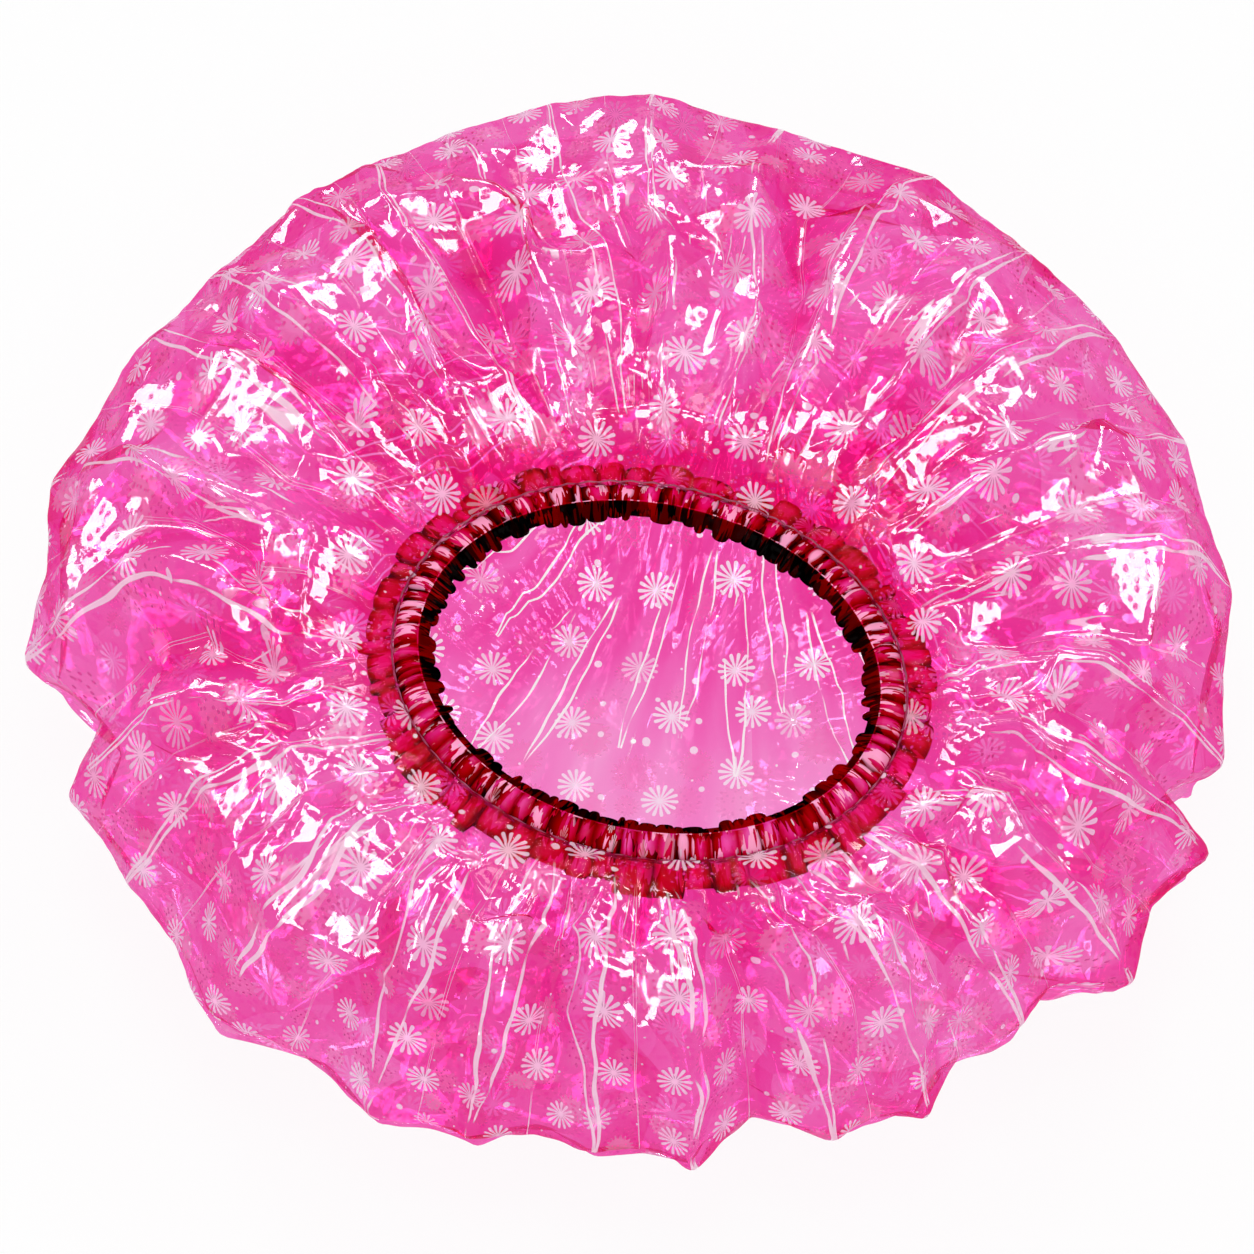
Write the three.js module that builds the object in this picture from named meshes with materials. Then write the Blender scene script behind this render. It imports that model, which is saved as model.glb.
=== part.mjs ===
import * as THREE from "three";

// A bouffant shower cap of thin pink vinyl, lying on its crown with its gathered mouth up.
// Millimetres. +X runs along the widest spread, +Y points to the fuller side, +Z leaves the mouth.
// The origin is the middle of the flat patch that the crown rests on.

// Billow: how far the fold tips stand from the crown's axis, and how high above the resting patch.
const billowReach = 150;
const billowHeight = 88;
// How far the highest ridge swells above the seam, and how deep the valley beside it lies. Lower
// folds hang nearer to straight, so both fall off with the height of the tip.
const crestRise = 20;
const valleyDepth = 16;
// The folds that carry on under the cap, and the round patch at the crown that lies flat.
const underfoldDepth = 5;
const crownPatchRadius = 34;
// Pleats that the film falls into where it is gathered to the seam.
const pleatRise = 3.2;

// Film: the wall of the one sheet that makes the billow, the casing and the turned allowance.
const filmWall = 0.5;

// Mouth: the oval that the relaxed elastic draws, and where it lies above the crown.
const mouthHalfLength = 55;
const mouthHalfWidth = 43;
const mouthHeight = 106;
const mouthShiftX = 3.5;
const mouthShiftY = -38;
const mouthTurn = THREE.MathUtils.degToRad(-19);

// Elastic: a flat strip standing on its edge, its ends lapped and sewn to close the loop.
const elasticWidth = 3;
const elasticThickness = 0.8;
const elasticLap = 14;
const elasticLapGap = 0.15;

// Turned hem: the casing round the elastic, its gathers, and the allowance left inside the seam.
const gatherCount = 72;
const seamReach = 7;
const seamLegGap = 0.9;
const scallopDepth = 1.2;
const gatherRise = 1.1;
const allowanceWidth = 9;
const allowanceDrop = 2.6;
const allowancePleat = 0.7;
const allowanceStep = 1.6;

// Seam: a lockstitch whose two threads meet between the layers of film.
const threadDiameter = 0.5;
const threadMeetGap = 0.3;
const clearance = 0.35;

// Main folds, counter-clockwise from +X: the bearing of the tip in degrees, the tip's reach, the
// tip's height and the reach of the notch that follows it, as shares of the billow's sizes, and
// then how deep the valley after it is and how far the fold leans over, as shares of theirs.
const foldShares = [
  [2, 1.0, 0.8, 0.975, 0.5, 0.4],
  [18, 0.985, 0.85, 0.965, 0.6, -0.3],
  [31, 0.96, 0.91, 0.955, 0.9, 0.6],
  [44, 0.95, 0.93, 0.945, 0.6, -0.5],
  [57, 0.96, 0.97, 0.935, 1.25, 0.8],
  [74, 0.93, 1.0, 0.94, 0.5, -0.4],
  [88, 0.97, 1.0, 0.965, 0.4, 0.2],
  [99, 0.96, 1.0, 0.95, 0.6, 0.5],
  [110, 0.95, 0.98, 0.945, 1.2, -0.7],
  [120, 0.96, 0.95, 0.95, 0.8, 0.6],
  [130, 0.955, 0.93, 0.945, 0.5, -0.3],
  [140, 0.955, 0.91, 0.95, 0.9, 0.5],
  [151, 0.975, 0.89, 0.975, 0.9, -0.6],
  [167, 1.01, 0.84, 0.985, 0.6, 0.3],
  [185, 1.02, 0.75, 0.9, 1.0, -0.5],
  [198, 0.985, 0.63, 0.955, 0.6, 0.1],
  [208, 0.945, 0.57, 0.93, 0.5, 0.2],
  [224, 0.96, 0.51, 0.91, 0.8, 0.3],
  [243, 0.94, 0.48, 0.91, 0.6, -0.5],
  [253, 0.92, 0.48, 0.89, 0.9, 0.4],
  [266, 0.905, 0.48, 0.895, 0.8, -0.6],
  [276, 0.94, 0.48, 0.86, 1.1, 0.7],
  [290, 0.945, 0.5, 0.93, 0.6, -0.4],
  [299, 0.975, 0.52, 0.91, 0.7, -0.1],
  [312, 0.94, 0.55, 0.925, 0.9, -0.3],
  [322, 1.03, 0.59, 0.985, 1.0, 0.6],
  [336, 1.035, 0.66, 0.925, 0.6, -0.3],
  [344, 1.01, 0.73, 0.985, 0.9, 0.5],
];
// Where the rows of the film's creases cross a fold: from the seam to the tips, and from the tips
// in to the patch.
const topRowShares = [0, 0.05, 0.12, 0.22, 0.34, 0.47, 0.6, 0.73, 0.87, 1];
const underRowShares = [0.95, 0.8, 0.58, 0.3, 0];
// Where the swell of a fold is highest, how much the swell differs from fold to fold, and how much
// of the valley's depth the lowest folds keep.
const crestShare = 0.4;
const swellSpreadShare = 0.3;
const lowValleyShare = 0.45;
// How far the folds run evenly round the seam rather than straight at their tips, how far ridges
// lean and wind sideways, and where the pleats at the seam have faded.
const evenSpreadShare = 0.5;
const foldLeanShare = 0.4;
const foldSwingShare = 0.1;
const pleatFadeShare = 0.1;
const pleatSpreadShare = 0.4;
// The creases meet in corners that stand off the even surface: sideways as a share of a fold, out
// and up as a share of the way from seam to tip, less so on the flanks, and under the cap as a
// share of the folds' depth.
const kinkShiftShare = 0.05;
const kinkDepthShare = 0.017;
const flankKinkShare = 0.4;
const underKinkShare = 0.15;

const fullTurn = 2 * Math.PI;
const outward = new THREE.Vector2();

// A point near the mouth, from the place round the oval in radians, the distance outside the
// elastic's middle line, and the height above it.
function mouthPoint(angle, out, up) {
  const point = new THREE.Vector2(
    mouthHalfLength * Math.cos(angle),
    mouthHalfWidth * Math.sin(angle),
  );
  outward
    .set(Math.cos(angle) / mouthHalfLength, Math.sin(angle) / mouthHalfWidth)
    .setLength(out);
  point.add(outward).rotateAround(new THREE.Vector2(), mouthTurn);
  return new THREE.Vector3(
    point.x + mouthShiftX,
    point.y + mouthShiftY,
    mouthHeight + up,
  );
}

// The place round the oval that faces a bearing from the middle of the mouth.
function ovalAngle(bearing) {
  const own = bearing - mouthTurn;
  return Math.atan2(
    Math.sin(own) * mouthHalfLength,
    Math.cos(own) * mouthHalfWidth,
  );
}

// A closed solid from a list of rings that hold equally many points. Loops join the last ring to
// the first; an open run gets a flat cap at each end.
function solidFromRings(rings, closed) {
  const sides = rings[0].length;
  const positions = rings.flat().flatMap((point) => point.toArray());
  const faces = [];
  const spans = closed ? rings.length : rings.length - 1;
  for (let ring = 0; ring < spans; ring++) {
    const next = (ring + 1) % rings.length;
    for (let side = 0; side < sides; side++) {
      const other = (side + 1) % sides;
      const a = ring * sides + side;
      const b = ring * sides + other;
      const c = next * sides + other;
      const d = next * sides + side;
      faces.push(a, b, c, a, c, d);
    }
  }
  if (!closed) {
    const last = (rings.length - 1) * sides;
    for (let side = 1; side < sides - 1; side++) {
      faces.push(0, side + 1, side);
      faces.push(last, last + side, last + side + 1);
    }
  }
  return geometryOf(positions, faces);
}

function geometryOf(positions, faces) {
  const geometry = new THREE.BufferGeometry();
  geometry.setAttribute(
    "position",
    new THREE.Float32BufferAttribute(positions, 3),
  );
  geometry.setIndex(faces);
  geometry.computeVertexNormals();
  return geometry;
}

// The cross-section of a folded strip of film: its middle line, thickened by half a wall each way
// and closed into one outline, as [out, up] pairs.
function stripSection(line) {
  const points = line.map(([out, up]) => new THREE.Vector2(out, up));
  const sides = [[], []];
  points.forEach((point, index) => {
    const before = points[Math.max(index - 1, 0)];
    const after = points[Math.min(index + 1, points.length - 1)];
    const along = after.clone().sub(before).normalize();
    const across = new THREE.Vector2(-along.y, along.x).multiplyScalar(
      filmWall / 2,
    );
    sides[0].push(point.clone().add(across));
    sides[1].unshift(point.clone().sub(across));
  });
  return [...sides[0], ...sides[1]];
}

// A loop round the mouth whose section changes from station to station.
function mouthLoop(stations, sectionAt) {
  const rings = [];
  for (let station = 0; station < stations; station++) {
    const angle = (station / stations) * fullTurn;
    rings.push(
      sectionAt(station).map((point) => mouthPoint(angle, point.x, point.y)),
    );
  }
  return solidFromRings(rings, true);
}

// Seam: the slot between the casing and the billow holds the threads.
const seamSlot = threadDiameter + 2 * clearance;
const filmStart = seamReach + seamSlot;
const legHeight = seamLegGap / 2 + filmWall / 2;
const stations = gatherCount * 2;

// Casing: from the seam over the elastic, round its inner edge and back under it to the seam.
// Even stations are the puffed gathers and odd ones the creases between them.
function casingSection(station) {
  const puff = station % 2 === 0 ? 1 : 0;
  const half = elasticWidth / 2 + clearance + filmWall / 2;
  const inner =
    -elasticThickness / 2 - clearance - filmWall / 2 - scallopDepth * puff;
  const lapOut = elasticThickness * 1.5 + elasticLapGap + clearance;
  const shoulder = lapOut + filmWall;
  return stripSection([
    [seamReach, legHeight],
    [shoulder, half + gatherRise * puff],
    [inner, half],
    [inner, -half],
    [shoulder, -half - (gatherRise / 2) * puff],
    [seamReach, -legHeight],
  ]);
}

// Allowance: the cut edge of the film inside the seam, in box pleats two gathers wide.
function allowanceSection(station) {
  const raised = station % 4 < 2 ? 1 : -1;
  const end = filmStart + allowanceWidth + (allowanceStep / 2) * raised;
  const middle = (filmStart + end) / 2;
  return stripSection([
    [filmStart, -legHeight],
    [middle, -legHeight - allowanceDrop / 2 + allowancePleat * raised],
    [end, -legHeight - allowanceDrop + allowancePleat * raised],
  ]);
}

// Thread: four-sided, up on the face at even stations and down between the layers at odd ones.
function threadSection(station, side) {
  const radius = threadDiameter / 2;
  const meet = threadMeetGap / 2 + radius;
  const face = legHeight + filmWall / 2 + clearance / 2;
  const up = side * (station % 2 === 0 ? face : meet);
  const middle = seamReach + seamSlot / 2;
  return [
    new THREE.Vector2(middle + radius, up),
    new THREE.Vector2(middle, up - radius),
    new THREE.Vector2(middle - radius, up),
    new THREE.Vector2(middle, up + radius),
  ];
}

// Elastic: one strip that runs once round and then laps outside its own start.
function elasticGeometry() {
  const lapTurn = (elasticLap / (mouthHalfLength + mouthHalfWidth)) * 2;
  const steps = 90;
  const rampShare = 0.06;
  const rings = [];
  for (let step = 0; step <= steps; step++) {
    const share = step / steps;
    const angle = share * (fullTurn + lapTurn);
    const overShare = THREE.MathUtils.smoothstep(
      angle,
      fullTurn * (1 - rampShare),
      fullTurn,
    );
    const out = overShare * (elasticThickness + elasticLapGap);
    const half = elasticThickness / 2;
    rings.push([
      mouthPoint(angle, out + half, elasticWidth / 2),
      mouthPoint(angle, out + half, -elasticWidth / 2),
      mouthPoint(angle, out - half, -elasticWidth / 2),
      mouthPoint(angle, out - half, elasticWidth / 2),
    ]);
  }
  return solidFromRings(rings, false);
}

// A number from -1 to 1 for a corner of a facet, random to the eye and the same each time.
function chanceAt(column, row, draw) {
  const wave = Math.sin(column * 12.9898 + row * 78.233 + draw * 37.719);
  const scaled = wave * 43758.5453;
  return 2 * (scaled - Math.floor(scaled)) - 1;
}

// The angle plus or minus full turns that lies nearest to another.
function nearestTurn(angle, other) {
  return angle + Math.round((other - angle) / fullTurn) * fullTurn;
}

// The outer ends of the ridges and, between them, of the valleys: the tip, its bearing, and the
// place round the mouth's oval where it starts. The last one closes the round on the first.
function foldKnots() {
  const count = foldShares.length;
  const first = THREE.MathUtils.degToRad(foldShares[0][0]);
  const knots = [];
  for (let knot = 0; knot <= 2 * count; knot++) {
    const fold = Math.floor(knot / 2);
    const [bearing, reach, height, notch] = foldShares[fold % count];
    const [nextBearing, , nextHeight] = foldShares[(fold + 1) % count];
    const here = bearing + Math.floor(fold / count) * 360;
    const next = nextBearing + Math.floor((fold + 1) / count) * 360;
    const valley = knot % 2;
    const turn = THREE.MathUtils.degToRad(valley ? (here + next) / 2 : here);
    const radius = (valley ? notch : reach) * billowReach;
    const up = valley ? (height + nextHeight) / 2 : height;
    const tip = new THREE.Vector3(
      radius * Math.cos(turn),
      radius * Math.sin(turn),
      up * billowHeight,
    );
    const even = first + (knot / 2 / count) * fullTurn;
    const straight = nearestTurn(
      Math.atan2(tip.y - mouthShiftY, tip.x - mouthShiftX),
      even,
    );
    const heading =
      THREE.MathUtils.lerp(straight, even, evenSpreadShare) - mouthTurn;
    knots.push({ tip, turn, start: nearestTurn(ovalAngle(heading), heading) });
  }
  return knots;
}

// Four columns to a fold: its ridge, its flank, the valley and the flank after that. A flank lies
// midway between its knots.
function foldColumns() {
  const knots = foldKnots();
  const count = foldShares.length;
  const columns = [];
  for (let column = 0; column < 4 * count; column++) {
    const place = column / 4;
    const fold = Math.floor(place);
    const nearest = Math.round(place) % count;
    const low = knots[Math.floor(column / 2)];
    const high = knots[Math.ceil(column / 2)];
    const mix = (a, b) => THREE.MathUtils.lerp(a, b, (column % 2) / 2);
    const swell = (at) => 1 + swellSpreadShare * chanceAt(at % count, 0, 0);
    const start = mix(low.start, high.start);
    columns.push({
      column,
      start,
      tip: low.tip.clone().lerp(high.tip, (column % 2) / 2),
      turn: mix(low.turn, high.turn),
      seam: mouthPoint(start, filmStart, legHeight + filmWall / 2),
      ridge: Math.abs(1 - 2 * (place - fold)),
      depth: foldShares[fold][4],
      lean: foldShares[nearest][5],
      swell: THREE.MathUtils.lerp(swell(fold), swell(fold + 1), place - fold),
    });
  }
  const foldWidth = (column, end) => {
    const here = columns[column][end];
    const before = columns.at(column - 1)[end];
    const after = columns[(column + 1) % columns.length][end];
    return 4 * Math.min(here.distanceTo(before), here.distanceTo(after));
  };
  return columns.map((ends, column) => ({
    ...ends,
    seamWidth: foldWidth(column, "seam"),
    tipWidth: foldWidth(column, "tip"),
  }));
}

// A corner of the billow's top side, on a row between the seam and the tips.
function topCorner(ends, row) {
  const { seam, tip, start, ridge, depth, lean, swell, column } = ends;
  const share = topRowShares[row];
  const fullness = Math.min(tip.z / billowHeight, 1);
  const crest = seam.z + crestRise * fullness * fullness * swell;
  const climb = Math.sin((Math.min(share / crestShare, 1) * Math.PI) / 2);
  const fall = Math.max((share - crestShare) / (1 - crestShare), 0);
  const sink =
    THREE.MathUtils.smoothstep(share, 0.1, 0.36) *
    Math.pow(Math.abs(Math.sin(Math.PI * Math.pow(share, 0.8))), 0.8);
  const point = seam.clone().lerp(tip, share);
  point.z = THREE.MathUtils.lerp(seam.z, crest, climb);
  point.z += (tip.z - crest) * fall * fall;
  const low = THREE.MathUtils.lerp(lowValleyShare, 1, fullness);
  point.z -= valleyDepth * low * depth * (1 - ridge) * sink;
  if (row > 0 && column % 2 === 1) {
    const height = 2 * pleatSpreadShare + pleatSpreadShare * chanceAt(column, 0, 1);
    point.z += pleatRise * height * Math.exp(-share / pleatFadeShare);
  }

  const kink =
    THREE.MathUtils.smoothstep(share, 0.08, 0.34) *
    (1 - THREE.MathUtils.smoothstep(share, 0.8, 1)) *
    (column % 2 === 1 ? flankKinkShare : 1);
  const stand = tip.distanceTo(seam) * kinkDepthShare * kink;
  const ahead = new THREE.Vector3(point.x - mouthShiftX, point.y - mouthShiftY, 0);
  const foldWidth = THREE.MathUtils.lerp(ends.seamWidth, ends.tipWidth, share);
  ahead.normalize();
  const side = new THREE.Vector3(-ahead.y, ahead.x, 0);
  const swing = Math.cos(2 * start) + Math.cos(5 * start + 1);
  const aside =
    ((lean * Math.pow(ridge, 1.5) * foldLeanShare) / 2) * sink +
    swing * foldSwingShare * Math.sin(fullTurn * share) * sink +
    chanceAt(column, row, 2) * kinkShiftShare * kink;
  point.addScaledVector(side, aside * foldWidth);
  point.addScaledVector(ahead, chanceAt(column, row, 13) * stand);
  point.z += chanceAt(column, row, 4) * stand;
  return point;
}

// A corner of the underside, on a row between the tips and the rim of the crown patch.
function underCorner({ tip, turn, ridge, column }, row) {
  const share = underRowShares[row];
  const point = new THREE.Vector3(
    crownPatchRadius * Math.cos(turn),
    crownPatchRadius * Math.sin(turn),
    0,
  ).lerp(tip, share);
  const bowl = 1 - Math.sqrt(1 - share * share);
  const lift = 1 - ridge + underKinkShare * (1 + chanceAt(column, row, 5));
  point.z = tip.z * bowl + underfoldDepth * lift * Math.sin(share * Math.PI);
  return point;
}

// Billow: the outer face row by row from the seam to the crown, then the inner face one wall
// inside it, joined at the seam's edge. The facets' diagonals alternate.
function billowGeometry() {
  const columns = foldColumns();
  const width = columns.length;
  const rows = [
    ...topRowShares.map((_, row) => columns.map((ends) => topCorner(ends, row))),
    ...underRowShares.map((_, row) =>
      columns.map((ends) => underCorner(ends, row)),
    ),
  ];
  const outer = [...rows.flat(), new THREE.Vector3()];
  const middle = outer.length - 1;
  const sheet = [];
  for (let row = 0; row < rows.length - 1; row++) {
    for (let column = 0; column < width; column++) {
      const next = (column + 1) % width;
      const a = row * width + column;
      const b = row * width + next;
      const c = (row + 1) * width + next;
      const d = (row + 1) * width + column;
      if ((row + column) % 2 === 0) {
        sheet.push(a, d, b, b, d, c);
      } else {
        sheet.push(a, d, c, a, c, b);
      }
    }
  }
  const rim = (rows.length - 1) * width;
  for (let column = 0; column < width; column++) {
    sheet.push(rim + column, middle, rim + ((column + 1) % width));
  }
  const positions = outer.flatMap((point) => point.toArray());
  const normals = geometryOf(positions, sheet).getAttribute("normal");
  const inner = outer.map((point, index) =>
    new THREE.Vector3()
      .fromBufferAttribute(normals, index)
      .multiplyScalar(-filmWall)
      .add(point),
  );
  const faces = [...sheet];
  for (let index = 0; index < sheet.length; index += 3) {
    const [a, b, c] = sheet.slice(index, index + 3);
    faces.push(a + outer.length, c + outer.length, b + outer.length);
  }
  for (let column = 0; column < width; column++) {
    const next = (column + 1) % width;
    const inside = column + outer.length;
    const nextInside = next + outer.length;
    faces.push(column, next, inside, next, nextInside, inside);
  }
  return geometryOf([...outer, ...inner].flatMap((p) => p.toArray()), faces);
}

function piece(name, geometry, color, roughness, opacity) {
  const material = new THREE.MeshStandardMaterial({
    color,
    roughness,
    metalness: 0,
    opacity,
    transparent: opacity < 1,
    flatShading: true,
  });
  const mesh = new THREE.Mesh(geometry, material);
  mesh.name = name;
  return mesh;
}

const showerCap = new THREE.Group();
const hem = new THREE.Group();
hem.add(
  piece("hem_casing", mouthLoop(stations, casingSection), 0x8f0a3c, 0.2, 0.85),
  piece(
    "hem_allowance",
    mouthLoop(stations, allowanceSection),
    0xb80f55,
    0.2,
    0.75,
  ),
  piece("elastic_loop", elasticGeometry(), 0x3a0206, 0.7, 1),
  piece(
    "needle_thread",
    mouthLoop(stations, (station) => threadSection(station, 1)),
    0xf2a9cc,
    0.6,
    1,
  ),
  piece(
    "bobbin_thread",
    mouthLoop(stations, (station) => threadSection(station, -1)),
    0xf2a9cc,
    0.6,
    1,
  ),
);
showerCap.add(piece("film_billow", billowGeometry(), 0xe8559f, 0.12, 0.6), hem);

export default showerCap;
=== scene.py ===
"""Shower cap of printed pink vinyl film, lying on its crown with its gathered mouth up.

The cap is one sheet of film gathered on an elastic: the puffed billow with its folds, the casing
turned over the elastic, and the cut edge left inside the seam. Metres, +Z up.
"""

import math  # noqa: E402

import bmesh  # noqa: E402
import bpy  # noqa: E402
import numpy as np  # noqa: E402
from bpy.props import FloatProperty, FloatVectorProperty, PointerProperty  # noqa: E402
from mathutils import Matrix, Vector, noise  # noqa: E402


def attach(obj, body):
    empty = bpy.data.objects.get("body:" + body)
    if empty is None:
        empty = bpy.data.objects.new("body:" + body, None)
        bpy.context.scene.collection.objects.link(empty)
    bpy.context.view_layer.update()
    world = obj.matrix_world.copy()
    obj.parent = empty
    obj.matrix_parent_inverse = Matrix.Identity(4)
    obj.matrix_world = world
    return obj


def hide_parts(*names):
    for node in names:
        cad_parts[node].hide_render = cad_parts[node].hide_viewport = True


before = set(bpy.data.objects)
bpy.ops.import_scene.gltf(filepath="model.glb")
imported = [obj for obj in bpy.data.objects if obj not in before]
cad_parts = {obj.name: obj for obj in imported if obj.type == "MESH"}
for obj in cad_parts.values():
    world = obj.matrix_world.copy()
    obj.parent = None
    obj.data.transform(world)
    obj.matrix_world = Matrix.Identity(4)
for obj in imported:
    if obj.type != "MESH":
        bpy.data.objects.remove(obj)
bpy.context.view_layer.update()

bl_info = {
    "name": "Shower Cap",
    "version": (1, 0, 0),
    "blender": (4, 5, 0),
    "location": "View3D > Sidebar > Shower Cap",
    "description": "Makes a gathered shower cap of printed vinyl film",
    "category": "Add Mesh",
}

MM = 0.001
TURN = 2 * math.pi
BODY = "root"

# The main folds, counter-clockwise from +X: the bearing of the tip in degrees, the tip's reach,
# its height and the reach of the notch after it, as shares of the billow's sizes, and then how
# deep the valley after it is and how far the fold leans over, as shares of theirs.
FOLD_SHARES = (
    (2, 1.0, 0.8, 0.975, 0.5, 0.4),
    (18, 0.985, 0.85, 0.965, 0.6, -0.3),
    (31, 0.96, 0.91, 0.955, 0.9, 0.6),
    (44, 0.95, 0.93, 0.945, 0.6, -0.5),
    (57, 0.96, 0.97, 0.935, 1.25, 0.8),
    (74, 0.93, 1.0, 0.94, 0.5, -0.4),
    (88, 0.97, 1.0, 0.965, 0.4, 0.2),
    (99, 0.96, 1.0, 0.95, 0.6, 0.5),
    (110, 0.95, 0.98, 0.945, 1.2, -0.7),
    (120, 0.96, 0.95, 0.95, 0.8, 0.6),
    (130, 0.955, 0.93, 0.945, 0.5, -0.3),
    (140, 0.955, 0.91, 0.95, 0.9, 0.5),
    (151, 0.975, 0.89, 0.975, 0.9, -0.6),
    (167, 1.01, 0.84, 0.985, 0.6, 0.3),
    (185, 1.02, 0.75, 0.9, 1.0, -0.5),
    (198, 0.985, 0.63, 0.955, 0.6, 0.1),
    (208, 0.945, 0.57, 0.93, 0.5, 0.2),
    (224, 0.96, 0.51, 0.91, 0.8, 0.3),
    (243, 0.94, 0.48, 0.91, 0.6, -0.5),
    (253, 0.92, 0.48, 0.89, 0.9, 0.4),
    (266, 0.905, 0.48, 0.895, 0.8, -0.6),
    (276, 0.94, 0.48, 0.86, 1.1, 0.7),
    (290, 0.945, 0.5, 0.93, 0.6, -0.4),
    (299, 0.975, 0.52, 0.91, 0.7, -0.1),
    (312, 0.94, 0.55, 0.925, 0.9, -0.3),
    (322, 1.03, 0.59, 0.985, 1.0, 0.6),
    (336, 1.035, 0.66, 0.925, 0.6, -0.3),
    (344, 1.01, 0.73, 0.985, 0.9, 0.5),
)
FOLDS = len(FOLD_SHARES)
# Columns of facets to a fold, and where their rows cross it: as shares of the way from the seam to
# the tips, and of the way from the crown's patch out to the tips.
FACETS = 4
TOP_ROW_SHARES = (0, 0.05, 0.12, 0.22, 0.34, 0.47, 0.6, 0.73, 0.87, 1)
UNDER_ROW_SHARES = (0.95, 0.8, 0.58, 0.3, 0)
# Box pleats of the cut edge, gathers of the casing and lobes that hang past the elastic.
PLEATS = 56
GATHERS = 72
LOBES = 92
# Where between the seam and the tips the ridges are highest, and how evenly the folds' starts are
# spread round the mouth, from straight under their tips at 0 to even at 1.
CREST_SHARE = 0.4
EVEN_SPREAD_SHARE = 0.5
# The film's mesh: columns to a column of facets, and rows to a row of them.
COLUMN_PARTS = 3
ROW_PARTS = 5
# Steps of the cloth simulation: enough for the film to crumple, too few for it to spread.
CLOTH_STEPS = 18
# The hem's meshes: columns round the mouth.
CASING_COLUMNS, ALLOWANCE_COLUMNS, ELASTIC_COLUMNS = 1440, 720, 360
# Flat facets in the film's gloss: how densely they lie along its streaks, and how far they tilt.
FILM_FACETS = (((3.7, 3.7, 2.4), 0.015), ((11, 11, 6), 0.0016))
# Where the creases of the underside fan out from, in millimetres, and their spacing in degrees.
FAN_START = (31, 112)
FAN_SPACING = 7.5


def linear(hex_value):
    """Linear red, green and blue of an sRGB hex colour."""
    parts = [int(hex_value[i : i + 2], 16) / 255 for i in (1, 3, 5)]
    return tuple(p / 12.92 if p <= 0.04045 else ((p + 0.055) / 1.055) ** 2.4 for p in parts)


def length(name, description, default):
    """A length property, its default in millimetres."""
    return FloatProperty(
        name=name, description=description, default=default * MM, unit="LENGTH", precision=5
    )


def share(name, description, default):
    """A plain number property."""
    return FloatProperty(name=name, description=description, default=default, precision=4)


def angle(name, description, default):
    """An angle property, its default in degrees."""
    return FloatProperty(
        name=name, description=description, default=math.radians(default), subtype="ANGLE"
    )


def colour(name, description, hex_value):
    """A colour property, its default as sRGB hex."""
    return FloatVectorProperty(
        name=name,
        description=description,
        default=linear(hex_value),
        subtype="COLOR",
        size=3,
        min=0,
        max=1,
    )


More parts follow.
